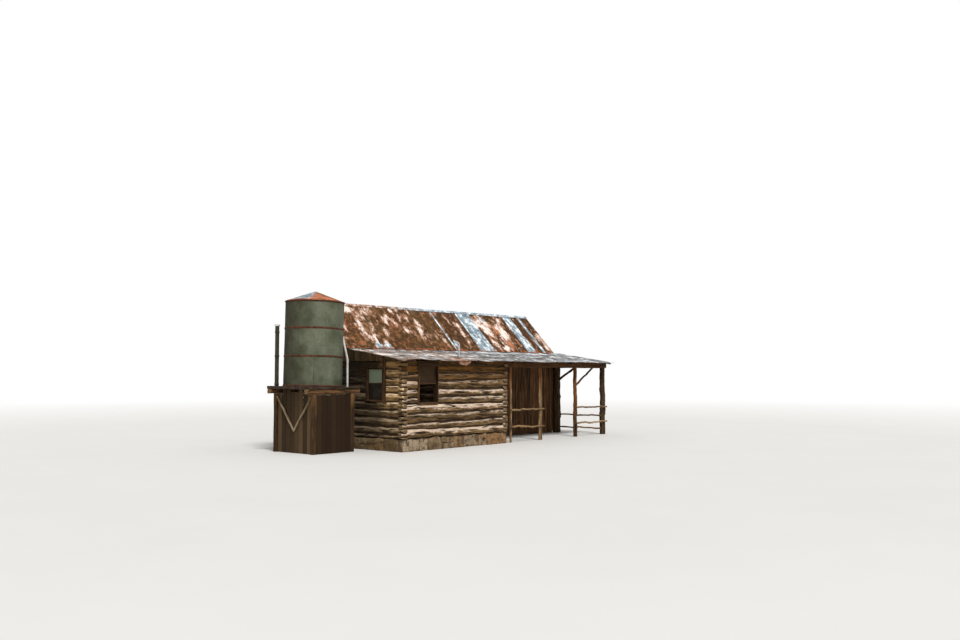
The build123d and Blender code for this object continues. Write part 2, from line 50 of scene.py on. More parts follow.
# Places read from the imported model, in metres
footLow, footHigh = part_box("long_footings")
leftX, rightX, frontY, backY = footLow.x, footHigh.x, footLow.y, footHigh.y
baseTop = footHigh.z
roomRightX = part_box("room_end_wall_logs")[1].x
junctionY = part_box("porch_wall_boards")[0].y
sideLow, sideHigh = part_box("right_wall_logs")
wall = sideHigh.x - sideLow.x
course = (sideHigh.z - baseTop) / 9.5  # this wall is nine and a half courses high
wallTop = baseTop + 9 * course
lowLow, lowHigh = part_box("low_roof_sheets")
steepLow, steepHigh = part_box("steep_roof_front_sheets")
backLow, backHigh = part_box("steep_roof_back_sheets")
lowSlope = 0.152  # rise for each metre inwards
steepSlope = math.tan(math.radians(46))


def lowUnder(y):  # height of the low roof's underside
    return lowLow.z + lowSlope * (y - lowLow.y)


def steepUnder(y):  # the same for both slopes of the steep roof
    return steepLow.z + steepSlope * min(y - steepLow.y, backHigh.y - y)

# Small helpers for node trees
def paint(red, green, blue):  # a colour as seen on a screen, made into the linear values Blender mixes
    linear = [((v / 255 + 0.055) / 1.055) ** 2.4 if v > 10 else v / 3295 for v in (red, green, blue)]
    return (*linear, 1.0)


def addNode(tree, kind, wires=None, **options):
    made = tree.nodes.new(kind)
    for option, value in options.items():
        setattr(made, option, value)
    for key, value in (wires or {}).items():
        if isinstance(value, bpy.types.NodeSocket):
            tree.links.new(value, made.inputs[key])
        else:
            made.inputs[key].default_value = value
    return made


def fromNode(tree, kind, wires=None, output=0, **options):
    return addNode(tree, kind, wires, **options).outputs[output]


def doMath(tree, operation, first, second=0.0):
    return fromNode(tree, "ShaderNodeMath", {0: first, 1: second}, operation=operation)


def plus(tree, first, second):
    return doMath(tree, "ADD", first, second)


def minus(tree, first, second):
    return doMath(tree, "SUBTRACT", first, second)


def times(tree, first, second):
    return doMath(tree, "MULTIPLY", first, second)


def nudge(tree, value, pattern, amount, middle=0.5):  # moves a value by a pattern's swing about its middle
    return plus(tree, value, times(tree, minus(tree, pattern, middle), amount))


def vectorMath(tree, operation, first, second):
    return fromNode(tree, "ShaderNodeVectorMath", {0: first, 1: second}, operation=operation)


def vectorOf(tree, parts):
    return fromNode(tree, "ShaderNodeCombineXYZ", parts)


def partsOf(tree, vector):
    return addNode(tree, "ShaderNodeSeparateXYZ", {0: vector}).outputs


def stretched(tree, vector, scale):
    return fromNode(tree, "ShaderNodeMapping", {"Vector": vector, "Scale": scale})


def cloud(tree, source, scale, detail=5.0, rough=0.6, stretch=None):
    if stretch:
        source = stretched(tree, source, stretch)
    wires = {"Vector": source, "Scale": scale, "Detail": detail, "Roughness": rough}
    return fromNode(tree, "ShaderNodeTexNoise", wires, "Fac")


def spread(tree, value, low, high, toLow=0.0, toHigh=1.0):
    return fromNode(tree, "ShaderNodeMapRange", {0: value, 1: low, 2: high, 3: toLow, 4: toHigh})


def blendPaint(tree, share, first, second, mode="MIX"):
    first, second = (paint(*tone) if isinstance(tone, tuple) else tone for tone in (first, second))
    wires = {0: share, 6: first, 7: second}
    return fromNode(tree, "ShaderNodeMix", wires, 2, data_type="RGBA", blend_type=mode)


def layered(tree, first, second, value, *limits):  # the second colour comes in from one limit to the other
    return blendPaint(tree, spread(tree, value, *limits), first, second)


def newFinish(name, roughness=0.85, metallic=0.0, shine=0.14):
    material = bpy.data.materials.new(name)
    material.use_nodes = True
    shader = material.node_tree.nodes["Principled BSDF"]
    shader.inputs["Roughness"].default_value = roughness
    shader.inputs["Metallic"].default_value = metallic
    shader.inputs["Specular IOR Level"].default_value = shine
    return material, material.node_tree, shader


def raiseSurface(tree, shader, height, strength, distance):
    wires = {"Strength": strength, "Distance": distance, "Height": height}
    tree.links.new(fromNode(tree, "ShaderNodeBump", wires), shader.inputs["Normal"])


def objectPlace(tree):
    return fromNode(tree, "ShaderNodeTexCoord", None, "Object")


def named(tree, name, output="Fac"):
    return fromNode(tree, "ShaderNodeAttribute", None, output, attribute_name=name)


def towardsFrontRight(tree, place, middle):  # how far a point lies to the front right of an upright line
    parts = partsOf(tree, place)
    across, along = minus(tree, parts[0], middle[0]), minus(tree, parts[1], middle[1])
    return minus(tree, times(tree, across, 0.65), times(tree, along, 0.76))

# Finishes: colours in the dictionaries are red, green and blue as seen on a screen
timberUsual = {"roughness": 0.88, "stainShare": 0.6, "cracked": 0.39, "dimmest": 0.78, "brightest": 1.18,
               "relief": 0.55}


def timberFinish(name, look):
    # grain runs along the piece's own "grain" attribute, or along one axis of the model
    look = {**timberUsual, **look}
    material, tree, shader = newFinish(name, look["roughness"])
    place, seed = objectPlace(tree), named(tree, "seed")
    if "along" in look:
        lined = stretched(tree, place, look["along"])
    else:
        apart = vectorOf(tree, {0: times(tree, seed, 17.0)})
        lined = stretched(tree, vectorMath(tree, "ADD", named(tree, "grain", "Vector"), apart), (1.1, 16, 16))
    grain = cloud(tree, lined, 1.0, 6.0, 0.65)
    fine = cloud(tree, lined, 4.5, 4.0, 0.6)
    stain = cloud(tree, place, 2.6, 5.0, 0.6)
    crack = cloud(tree, lined, 1.7, 2.0, 0.4)
    wood = layered(tree, look["dark"], look["pale"], grain, 0.38, 0.6)
    wood = layered(tree, wood, look["stain"], stain, 0.42, 0.7, 0.0, look["stainShare"])
    if "underside" in look:  # painted shade on the lower part of each log, painted highlight on its upper part
        chips = cloud(tree, lined, 1.0, 5.0, 0.7, (3.5, 0.8, 0.8))
        rise = named(tree, "rise")
        for pattern, amount in ((grain, 1.8), (stain, 1.8), (chips, 2.6)):
            rise = nudge(tree, rise, pattern, amount)
        top = nudge(tree, rise, seed, 0.7)
        wood = layered(tree, wood, look["paintedTopHighlight"], top, 0.1, 0.6, 0.0, 0.92)
        wood = layered(tree, wood, look["underside"], rise, -0.5, -0.85, 0.0, 0.92)
    if "sunny" in look:  # golden wood high up and weathered wood lower down: on the logs, wood kept golden under the eave and paler on each log's upper part as a painted highlight; on the tank's stand, painted sunlight on the tops of its legs and beams
        height = plus(tree, partsOf(tree, place)[2], times(tree, stain, 0.7))
        light = plus(tree, grain, times(tree, rise, 0.14)) if "underside" in look else grain
        golden = layered(tree, look["sunnyDark"], look["sunny"], light, 0.38, 0.64)
        wood = layered(tree, wood, golden, height, look["sunnyFrom"], look["sunnyFrom"] + 0.5)
    wood = layered(tree, wood, look["crack"], fine, 0.34, 0.52, 0.6, 0.0)
    wood = layered(tree, wood, look["crack"], crack, look["cracked"], look["cracked"] - 0.06)
    shade = plus(tree, look["dimmest"], times(tree, seed, look["brightest"] - look["dimmest"]))
    if "shaded" in look:  # bright on the near side of one place and above one height, dark elsewhere
        nearY, farY, lowZ, highZ = look["shaded"]
        parts = partsOf(tree, place)
        drift = times(tree, minus(tree, stain, 0.5), 0.8)
        near = spread(tree, plus(tree, parts[1], drift), farY, nearY)
        high = spread(tree, plus(tree, parts[2], drift), lowZ, highZ, 0.15, 1.0)
        shade = times(tree, shade, spread(tree, times(tree, near, high), 0.0, 1.0, 0.32, 2.8))
    grey = fromNode(tree, "ShaderNodeCombineColor", {0: shade, 1: shade, 2: shade})
    wood = blendPaint(tree, 1.0, wood, grey, "MULTIPLY")
    tree.links.new(wood, shader.inputs["Base Color"])
    relief = plus(tree, grain, times(tree, spread(tree, crack, 0.3, 0.38), 0.8))
    raiseSurface(tree, shader, relief, look["relief"], 0.012)
    return material


def endGrainFinish(name, look):
    material, tree, shader = newFinish(name, 0.9)
    grain = named(tree, "grain", "Vector")
    across = stretched(tree, grain, (0, 1, 1))
    out = fromNode(tree, "ShaderNodeVectorMath", {0: across}, "Value", operation="LENGTH")
    uneven = cloud(tree, grain, 14.0, 4.0)
    rings = doMath(tree, "SINE", times(tree, plus(tree, out, times(tree, uneven, 0.03)), look["rings"]))
    wood = layered(tree, look["dark"], look["pale"], rings, -1.0, 1.0)
    wood = layered(tree, wood, look["crack"], uneven, 0.45, 0.75, 0.0, 0.8)
    tree.links.new(wood, shader.inputs["Base Color"])
    raiseSurface(tree, shader, rings, 0.25, 0.004)
    return material


def ironFinish(name, look):
    # rusted galvanised sheet: "zinc" is how much coating a sheet keeps, the second mark where the rust is
    # rubbed pale and where pale sunflecks of painted light fall on it, "glow" where it is orange and "low"
    # the share of the way up the sheet
    material, tree, shader = newFinish(name, 0.7)
    place = objectPlace(tree)
    zinc, sunlitAndWorn, glow, seed, low = (named(tree, label) for label in ("zinc", "sunlitAndWorn", "glow", "seed", "low"))
    shifted = vectorMath(tree, "ADD", place, vectorOf(tree, {1: times(tree, seed, 5.0)}))
    streak = cloud(tree, shifted, 1.0, 7.0, 0.68, look["streak"])
    patch = cloud(tree, shifted, look["patchScale"], 8.0, 0.72)
    broad = cloud(tree, place, 1.1, 4.0, 0.6)
    speck = cloud(tree, place, 38.0, 3.0)
    dapple = cloud(tree, shifted, 1.0, 5.0, 0.7, look["dapples"])
    ragged = plus(tree, times(tree, streak, 0.3), times(tree, patch, 0.7))
    rust = layered(tree, look["rustDark"], look["rust"], patch, 0.38, 0.6)
    rust = layered(tree, rust, look["olive"], broad, 0.45, 0.62, 0.0, 0.6)
    rust = layered(tree, rust, look["rustBright"], ragged, 0.51, 0.6, 0.0, 0.85)
    rust = layered(tree, rust, look["rustDark"], speck, 0.3, 0.7, 0.35, 0.0)
    if "dimFrom" in look:  # the sheets beyond this place are darker
        dimX = look["dimFrom"]
        beyond = spread(tree, partsOf(tree, place)[0], dimX - 0.3, dimX + 0.3, 0.0, 0.55)
        rust = blendPaint(tree, beyond, rust, look["rustDark"])
    orange = nudge(tree, glow, ragged, 2.2)
    rust = layered(tree, rust, look["glow"], orange, 0.25, 0.75, 0.0, 0.85)
    # pale rubbed rust, with pale patches of painted sunlight falling in dapples
    paleRustAndSunflecks = nudge(tree, sunlitAndWorn, ragged, 2.6 * look["raggedness"])
    paleRustAndSunflecks = nudge(tree, paleRustAndSunflecks, dapple, look["dappled"], 0.53)
    rust = layered(tree, rust, look["blush"], paleRustAndSunflecks, 0.0, 0.42, 0.0, 0.72)
    rust = layered(tree, rust, look["pale"], paleRustAndSunflecks, 0.40, 0.85, 0.0, 0.95)
    crisp, start = look["crisp"], look["dapple"]
    coat = layered(tree, look["zincDark"], look["zinc"], streak, 0.5 - crisp, 0.5 + crisp)
    coatPatch = cloud(tree, shifted, look["patchScale"] * look["coatScale"], 6.0, 0.66)
    coat = layered(tree, coat, look["zincPale"], coatPatch, 0.5 - start, 0.52 - start + crisp)
    share = spread(tree, nudge(tree, zinc, ragged, 2.0), 0.42, 0.6)
    tone = blendPaint(tree, share, rust, coat)
    up = nudge(tree, low, seed, 0.06)
    for lap in look.get("laps", ()):  # dirt and rust that gathers below each end lap of the sheets
        below = spread(tree, nudge(tree, up, patch, look["lapDrift"]), lap - 0.20, lap)
        gathered = times(tree, below, spread(tree, up, lap + 0.004, lap))
        tone = blendPaint(tree, times(tree, gathered, look["lapShare"]), tone, look["rustDark"])
    rim = nudge(tree, low, patch, -0.3, 0.52)
    tone = layered(tree, tone, look["edge"], rim, 0.03, 0.0, 0.0, look["edgeShare"])
    tree.links.new(tone, shader.inputs["Base Color"])
    tree.links.new(spread(tree, share, 0.0, 1.0, 0.9, 0.62), shader.inputs["Roughness"])
    tree.links.new(spread(tree, share, 0.0, 1.0, 0.0, 0.12), shader.inputs["Metallic"])
    raiseSurface(tree, shader, plus(tree, speck, patch), 0.2, 0.004)
    return material


mottledUsual = {"roughness": 0.6, "metallic": 0.0, "scale": 3.0, "speckScale": 55.0, "runShare": 0.5,
                "speckShare": 0.4, "relief": 0.15}


def mottledFinish(name, look):
    # painted or plain surfaces with soft mottling and run-down stains
    look = {**mottledUsual, **look}
    material, tree, shader = newFinish(name, look["roughness"], look["metallic"])
    place = objectPlace(tree)
    soft = cloud(tree, place, look["scale"], 6.0, 0.6)
    runs = cloud(tree, place, 1.0, 5.0, 0.6, (9, 9, 0.8))
    speck = cloud(tree, place, look["speckScale"], 3.0, 0.7)
    tone = layered(tree, look["dark"], look["pale"], soft, 0.35, 0.65)
    tone = layered(tree, tone, look["run"], runs, 0.5, 0.75, 0.0, look["runShare"])
    if "paintedShadeSide" in look:  # painted shade: the back left side, away from the light, is darker and browner
        aside = nudge(tree, towardsFrontRight(tree, place, look["middle"]), soft, 0.5)
        tone = layered(tree, tone, look["paintedShadeSide"], aside, 0.1, -0.65, 0.0, 0.9)
    tone = layered(tree, tone, look["speck"], speck, 0.42, 0.3, 0.0, look["speckShare"])
    tree.links.new(tone, shader.inputs["Base Color"])
    gloss = spread(tree, speck, 0.3, 0.7, look["roughness"] - 0.1, look["roughness"] + 0.15)
    tree.links.new(gloss, shader.inputs["Roughness"])
    raiseSurface(tree, shader, speck, look["relief"], 0.003)
    return material


# Shapes made of many separate solids
def newPile():
    return {"points": [], "faces": [], "slots": [], "grain": [], "seed": [], "rise": []}


def addSolid(pile, points, faces, seed, grain, rise, slots=None):
    first = len(pile["points"])
    pile["points"] += points
    pile["faces"] += [tuple(first + corner for corner in face) for face in faces]
    pile["slots"] += slots or [0] * len(faces)
    pile["grain"] += grain
    pile["seed"] += [seed] * len(points)
    pile["rise"] += rise


def finishPiece(obj, replaced=()):
    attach(obj, "root")
    if replaced:
        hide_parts(*replaced)
    return obj


def makePiece(name, pile, finishes, replaced=(), sharpAngle=40):
    mesh = bpy.data.meshes.new(name)
    mesh.from_pydata(pile["points"], [], pile["faces"])
    for finish in finishes:
        mesh.materials.append(finish)
    mesh.polygons.foreach_set("material_index", pile["slots"])
    for label in ("seed", "rise"):
        mesh.attributes.new(label, "FLOAT", "POINT").data.foreach_set("value", pile[label])
    flat = [value for vector in pile["grain"] for value in vector]
    mesh.attributes.new("grain", "FLOAT_VECTOR", "POINT").data.foreach_set("vector", flat)
    turnOutwards(mesh)
    mesh.shade_smooth()
    mesh.set_sharp_from_angle(angle=math.radians(sharpAngle))
    obj = bpy.data.objects.new(name, mesh)
    scene.collection.objects.link(obj)
    return finishPiece(obj, replaced)


def turnOutwards(mesh):
    work = bmesh.new()
    work.from_mesh(mesh)
    bmesh.ops.recalc_face_normals(work, faces=work.faces)
    work.to_mesh(mesh)
    work.free()


def wander(dice, size, waves=(2.3, 0.9, 0.41)):  # smooth random drift along a length
    parts = []
    for wave in waves:
        high = size * dice.uniform(0.4, 1.0) * (wave / waves[0]) ** 0.6
        turn = math.tau / (wave * dice.uniform(0.8, 1.2))
        parts.append((high, turn, dice.uniform(0, math.tau)))
    return lambda place: sum(high * math.sin(turn * place + start) for high, turn, start in parts)


def addLoft(pile, stations, seed, around=16, power=2.0, rough=0.0, endSlot=0, noiseScale=(2.5, 11.0)):
    # stations are (centre, half width vector, half height vector, distance along)
    points, grain, rise = [], [], []
    for centre, side, up, along in stations:
        wide, tall = side.length, up.length
        for step in range(around):
            angle = math.tau * (step + 0.5) / around
            across, upward = math.cos(angle), math.sin(angle)
            across = math.copysign(abs(across) ** (2 / power), across)
            upward = math.copysign(abs(upward) ** (2 / power), upward)
            offset = side * across + up * upward
            fine = noiseScale[1]
            spot = Vector((along * noiseScale[0] + seed * 91, wide * across * fine, tall * upward * fine))
            push = rough * noise.noise(spot) if rough else 0.0
            points.append(centre + offset + offset.normalized() * push)
            grain.append((along, wide * across, tall * upward))
            rise.append(upward)
    faces = [tuple(range(around))]
    for ring in range(len(stations) - 1):
        near, far = ring * around, (ring + 1) * around
        for step in range(around):
            after = (step + 1) % around
            faces.append((near + step, near + after, far + after, far + step))
    faces.append(tuple((len(stations) - 1) * around + step for step in range(around)))
    slots = [endSlot] + [0] * (len(faces) - 2) + [endSlot]
    addSolid(pile, points, faces, seed, grain, rise, slots)


def addPole(pile, centres, radii, seed, around=12, rough=0.004, endSlot=0, spacing=0.09):
    # round pole along a line of points, with a radius at each
    stations = []
    done = 0.0
    marks = [(Vector(centre), radius) for centre, radius in zip(centres, radii)]
    for (start, startRadius), (end, endRadius) in zip(marks[:-1], marks[1:]):
        run = (end - start).length
        count = max(1, round(run / spacing))
        for step in range(count):
            share = step / count
            radius = startRadius + (endRadius - startRadius) * share
            stations.append((start.lerp(end, share), radius, done + run * share))
        done += run
    stations.append((*marks[-1], done))
    framed = []
    for index, (centre, radius, along) in enumerate(stations):
        before, after = stations[max(index - 1, 0)][0], stations[min(index + 1, len(stations) - 1)][0]
        heading = (after - before).normalized()
        aside = heading.cross(Vector((0.13, 1, 0.21))).normalized()
        framed.append((centre, aside * radius, aside.cross(heading).normalized() * radius, along))
    addLoft(pile, framed, seed, around, 2.0, rough, endSlot, (5.0, 16.0))


knotShape = {"high": 0.16, "long": 0.045, "hold": 5}


def crookedPole(pile, start, end, radius, dice, bend=0.012, taper=0.85, knots=3, **options):
    # pole with a slight wander and a few swollen knots
    start, end = Vector(start), Vector(end)
    run = (end - start).length
    heading = (end - start).normalized()
    aside = heading.cross(Vector((0.2, 1, 0.3))).normalized()
    other = heading.cross(aside)
    drift, sway = wander(dice, bend, (1.3, 0.5, 0.23)), wander(dice, bend, (1.1, 0.45, 0.2))
    lumps = [dice.uniform(0.1, 0.95) * run for knot in range(knots)]
    count = max(4, round(run / 0.07))
    centres, radii = [], []
    for step in range(count + 1):
        place = run * step / count
        hold = min(1.0, knotShape["hold"] * min(step, count - step) / count)  # the ends stay on their marks
        centres.append(start + heading * place + aside * drift(place) * hold + other * sway(place) * hold)
        bumps = [math.exp(-((place - lump) / knotShape["long"]) ** 2) for lump in lumps]
        swell = sum(knotShape["high"] * bump for bump in bumps)
        radii.append(radius * (1 + (taper - 1) * place / run) * (1 + swell))
    addPole(pile, centres, radii, dice.random(), spacing=1.0, endSlot=1, **options)


def addBlock(pile, low, high, seed, grainAxis=0, wobble=0.002, steps=None, corner=None):
    # sawn board between two corners, with edges a little out of true; corner(x, y, z) may move its points
    low, high = Vector(low), Vector(high)
    size, middle = high - low, (low + high) / 2
    count = steps or max(1, round(size[grainAxis] / 0.25))
    others = [axis for axis in range(3) if axis != grainAxis]
    points, grain = [], []
    for step in range(count + 1):
        for share in ((0, 0), (1, 0), (1, 1), (0, 1)):
            point = Vector(low)
            point[grainAxis] += size[grainAxis] * step / count
            for axis, side in zip(others, share):
                point[axis] += size[axis] * side
            point += noise.noise_vector(point * 3.1 + Vector((seed * 53, 0, 0))) * wobble
            if corner:
                point = Vector(corner(*point))
            points.append(point)
            grain.append((point[grainAxis], *(point[axis] - middle[axis] for axis in others)))
    faces = [(3, 2, 1, 0)]
    for near in range(0, count * 4, 4):
        for side in range(4):
            after = (side + 1) % 4
            faces.append((near + side, near + after, near + 4 + after, near + 4 + side))
    faces.append(tuple(count * 4 + side for side in range(4)))
    addSolid(pile, points, faces, seed, grain, [0.3] * len(points))


def alongAxis(axis, *corners):  # corners written for a run along x, turned where the run goes along y
    return corners if axis == "x" else [(corner[1], corner[0], corner[2]) for corner in corners]


# Geometry Nodes helpers
def newTree(name, sockets):
    tree = bpy.data.node_groups.new(name, "GeometryNodeTree")
    tree.interface.new_socket("Geometry", in_out="INPUT", socket_type="NodeSocketGeometry")
    for label, kind, value in sockets:
        made = tree.interface.new_socket(label, in_out="INPUT", socket_type="NodeSocket" + kind)
        if value is not None:
            made.default_value = value
    tree.interface.new_socket("Geometry", in_out="OUTPUT", socket_type="NodeSocketGeometry")
    return tree, tree.nodes.new("NodeGroupInput").outputs


def endTree(tree, geometry, finish):
    real = fromNode(tree, "GeometryNodeRealizeInstances", {"Geometry": geometry})
    dressed = fromNode(tree, "GeometryNodeSetMaterial", {"Geometry": real, "Material": finish})
    addNode(tree, "NodeGroupOutput", {0: dressed})


def growPiece(name, mesh, tree, values, slot, replaced=(), matrix=None, thickness=0.0, sharpAngle=40):
    # runs a tree on a mesh, keeps the result as a plain mesh and takes the modifiers off
    obj = bpy.data.objects.new(name, mesh)
    scene.collection.objects.link(obj)
    if tree:
        modifier = obj.modifiers.new("grow", "NODES")
        modifier.node_group = tree
        for item in tree.interface.items_tree:
            if item.in_out == "INPUT" and item.name in values:
                modifier[item.identifier] = values[item.name]
    if thickness:
        shell = obj.modifiers.new("shell", "SOLIDIFY")
        shell.thickness, shell.offset = thickness, 0.0
    graph = bpy.context.evaluated_depsgraph_get()
    grown = obj.evaluated_get(graph)
    result = bpy.data.meshes.new_from_object(grown, preserve_all_data_layers=True, depsgraph=graph)
    obj.modifiers.clear()
    obj.data = result
    result.name = name
    if matrix is not None:
        result.transform(matrix)
    result.shade_smooth()
    result.set_sharp_from_angle(angle=math.radians(sharpAngle))
    return finishPiece(obj, replaced)


def plainSheet(name, points, faces, finish, slot, replaced=(), thickness=0.0018, values=None, **options):
    # thin sheet, thickened once its points stand; values are numbers for the finish, one a point
    mesh = bpy.data.meshes.new(name)
    mesh.from_pydata(points, [], faces)
    mesh.materials.append(finish)
    for label, numbers in (values or {}).items():
        mesh.attributes.new(label, "FLOAT", "POINT").data.foreach_set("value", numbers)
    return growPiece(name, mesh, None, {}, slot, replaced, thickness=thickness, **options)


def gridFaces(columns, rows, closed=False, first=0):
    faces = []
    for column in range(columns if closed else columns - 1):
        near, far = first + column * rows, first + (column + 1) % columns * rows
        faces += [(near + row, far + row, far + row + 1, near + row + 1) for row in range(rows - 1)]
    return faces


# Hewn logs: each one bows and swells a little, and narrows to a tongue where it crosses another wall
logLook = {
    "dark": (78, 59, 36), "pale": (140, 112, 74), "stain": (102, 79, 48), "crack": (40, 28, 17),
    "sunny": (138, 93, 38), "sunnyDark": (76, 53, 25), "sunnyFrom": 2.02,
    # the next two colours are painted shade under each log and a painted highlight on its top
    "underside": (53, 38, 24), "paintedTopHighlight": (214, 190, 168), "relief": 1.0, "cracked": 0.43,
}
# the left wall is bright by the corner, and dark below and behind it, where the tank shades it
shadeLogLook = dict(logLook, shaded=(frontY + 0.62, frontY + 0.95, 1.0, 1.4), paintedTopHighlight=(198, 172, 138),
                    sunny=logLook["stain"], sunnyDark=logLook["dark"])
logEndLook = {"dark": (86, 66, 43), "pale": (142, 116, 82), "crack": (47, 34, 22), "rings": 620.0}
logShape = {"gap": 0.030, "bow": 0.008, "drift": 0.012, "tilt": 0.02, "swell": 0.005, "rough": 0.013,
            "around": 20, "spacing": 0.08, "squareness": 4.8, "shoulder": (0.014, 0.004), "tongueGap": 0.009,
            "tongueDepth": 0.96, "endDepth": 0.86, "out": 0.03, "windowGap": 0.004, "topOut": 0.05}
logWood, shadeWood = timberFinish("hewnLogWood", logLook), timberFinish("shadedLogWood", shadeLogLook)
logEnds = endGrainFinish("sawnLogEnds", logEndLook)


def still(place):
    return 0.0


def jointLine(drift, tilt, ends):
    def line(place):
        share = min(1.0, max(0.0, (place - ends[0]) / (ends[1] - ends[0])))
        return tilt[0] + (tilt[1] - tilt[0]) * share + drift(place)
    return line


def jointLines(seed, count, ends, calm=(), tilts=None):
    # how far each joint of a wall sits off its even height, shared by the logs above and below
    dice = random.Random(seed)
    lines, most = [], logShape["tilt"]
    for joint in range(count):
        drift = wander(dice, logShape["drift"], (4.1, 1.5, 0.6))
        tilt = tilts[joint] if tilts else (dice.uniform(-most, most), dice.uniform(-most, most))
        if joint in (0, count - 1) or joint in calm:
            drift = still
            tilt = tilt if tilts else (0, 0)
        lines.append(jointLine(drift, tilt, ends))
    return lines


def addLog(pile, axis, span, face, low, high, dice, crossings=(), joints=(still, still)):
    # crossings are (from, to, tongue low, tongue high); face is the wall's outer face, or its lower side
    bowOut = wander(dice, logShape["bow"])
    swell = wander(dice, logShape["swell"], (1.7, 0.6, 0.27))
    seed = dice.random()
    count = max(2, round((span[1] - span[0]) / logShape["spacing"]))
    places = [span[0] + (span[1] - span[0]) * step / count for step in range(count + 1)]
    outer, inner = logShape["shoulder"]
    for start, end, _, _ in crossings:
        places = [place for place in places if not start - 0.03 < place < end + 0.03 or place in span]
        places += [start - outer, start + inner, (start + end) / 2, end - inner, end + outer]
    stations = []
    for place in sorted(place for place in set(places) if span[0] <= place <= span[1]):
        bottom, top = low + joints[0](place), high + joints[1](place)
        middle, depth, inset = (bottom + top) / 2, wall / 2, bowOut(place)
        half = (top - bottom - logShape["gap"]) / 2 + swell(place)
        for start, end, tongueLow, tongueHigh in crossings:
            first, last = span[0] > start - 0.1, span[1] < end + 0.1
            if (first or place > start) and (last or place < end):
                middle, inset = (tongueLow + tongueHigh) / 2, 0.0
                half = (tongueHigh - tongueLow) / 2 - logShape["tongueGap"]
                depth = wall / 2 * logShape["endDepth" if place in span else "tongueDepth"]
        centre, side = alongAxis(axis, (place, face + wall / 2 + inset, middle), (0, depth, 0))
        stations.append((Vector(centre), Vector(side), Vector((0, 0, half)), place))
    addLoft(pile, stations, seed, logShape["around"], logShape["squareness"], logShape["rough"], endSlot=1)


def tongue(start, low, high):  # a crossing with the wall whose outer face starts there
    return (start, start + wall, low + course / 4, high - course / 4)


roomWallX, rightWallX, backWallY = roomRightX - wall, rightX - wall, backY - wall
windowX = (leftX + 0.56, leftX + 1.36)
sideWindowY = (frontY + 0.74, frontY + 1.42)
frontLevels = [baseTop + course * step for step in range(12)]
sideLevels = [baseTop] + [baseTop + course * (step + 0.5) for step in range(10)]

# how far each front joint rises at the left and at the right end, as the photograph shows them
frontTilts = [(0, 0), (0.044, -0.008), (-0.045, 0), (-0.01, 0.028), (0.055, 0.0), (-0.02, 0.014), (0, -0.02),
              (0, 0.035), (0, 0), (0, 0)]
frontJoints = jointLines(2, 10, (leftX, roomRightX), (4,), frontTilts)
backJoints = jointLines(3, 12, (leftX, rightX))
leftJoints = jointLines(4, 11, (frontY, backY), (5, 9))
roomJoints = jointLines(6, 11, (frontY, junctionY))
rightJoints = jointLines(7, 11, (junctionY, backY))


def stub(dice):  # how far a log stands out at a corner
    return logShape["out"] * dice.uniform(0.2, 1.3)


def windowLogs(pile, axis, ends, hole, face, low, high, dice, crossings, lines):
    # a log on each side of a window
    gap = logShape["windowGap"]
    addLog(pile, axis, (ends[0], hole[0] - gap), face, low, high, dice, crossings[:1], lines)
    addLog(pile, axis, (hole[1] + gap, ends[1]), face, low, high, dice, crossings[1:], lines)


def buildFrontLogs():
    dice = random.Random(5)
    pile = newPile()
    for index, (low, high) in enumerate(zip(frontLevels[:9], frontLevels[1:10])):
        ends = (leftX - stub(dice), roomRightX + stub(dice))
        crossings = (tongue(leftX, low, high), tongue(roomWallX, low, high))
        lines = frontJoints[index:index + 2]
        if index < 4:
            addLog(pile, "x", ends, frontY, low, high, dice, crossings, lines)
        else:
            windowLogs(pile, "x", ends, windowX, frontY, low, high, dice, crossings, lines)
    top, out = lowUnder(frontY + wall / 2) - 0.05, logShape["topOut"]
    cut = [(start, start + wall, wallTop + course / 4, top) for start in (leftX, roomWallX)]
    addLog(pile, "x", (leftX - out, roomRightX + out), frontY, wallTop, top, dice, cut)
    makePiece("front_wall_hewn_logs", pile, [logWood, logEnds],
              ("front_wall_long_logs", "front_wall_window_logs"))


def buildSideLogs():
    dice = random.Random(17)
    left, room, right = newPile(), newPile(), newPile()
    for index, (low, high) in enumerate(zip(sideLevels[:-1], sideLevels[1:])):
        first, last = tongue(frontY, low, high), tongue(backWallY, low, high)
        if index == 0:
            first, last = [(start, start + wall, low, low + course / 4) for start in (frontY, backWallY)]
        ends = (frontY - stub(dice), backY + stub(dice))
        lines = leftJoints[index:index + 2]
        if 5 <= index < 9:
            windowLogs(left, "y", ends, sideWindowY, leftX, low, high, dice, (first, last), lines)
        else:
            addLog(left, "y", ends, leftX, low, high, dice, (first, last), lines)
        lines = roomJoints[index:index + 2]
        addLog(room, "y", (frontY - stub(dice), junctionY), roomWallX, low, high, dice, (first,), lines)
        lines = rightJoints[index:index + 2]
        addLog(right, "y", (junctionY, backY + stub(dice)), rightWallX, low, high, dice, (last,), lines)
    makePiece("left_wall_hewn_logs", left, [shadeWood, logEnds],
              ("left_wall_long_logs", "left_wall_window_logs"))
    makePiece("room_end_hewn_logs", room, [logWood, logEnds], ("room_end_wall_logs",))
    makePiece("right_wall_hewn_logs", right, [logWood, logEnds], ("right_wall_logs",))


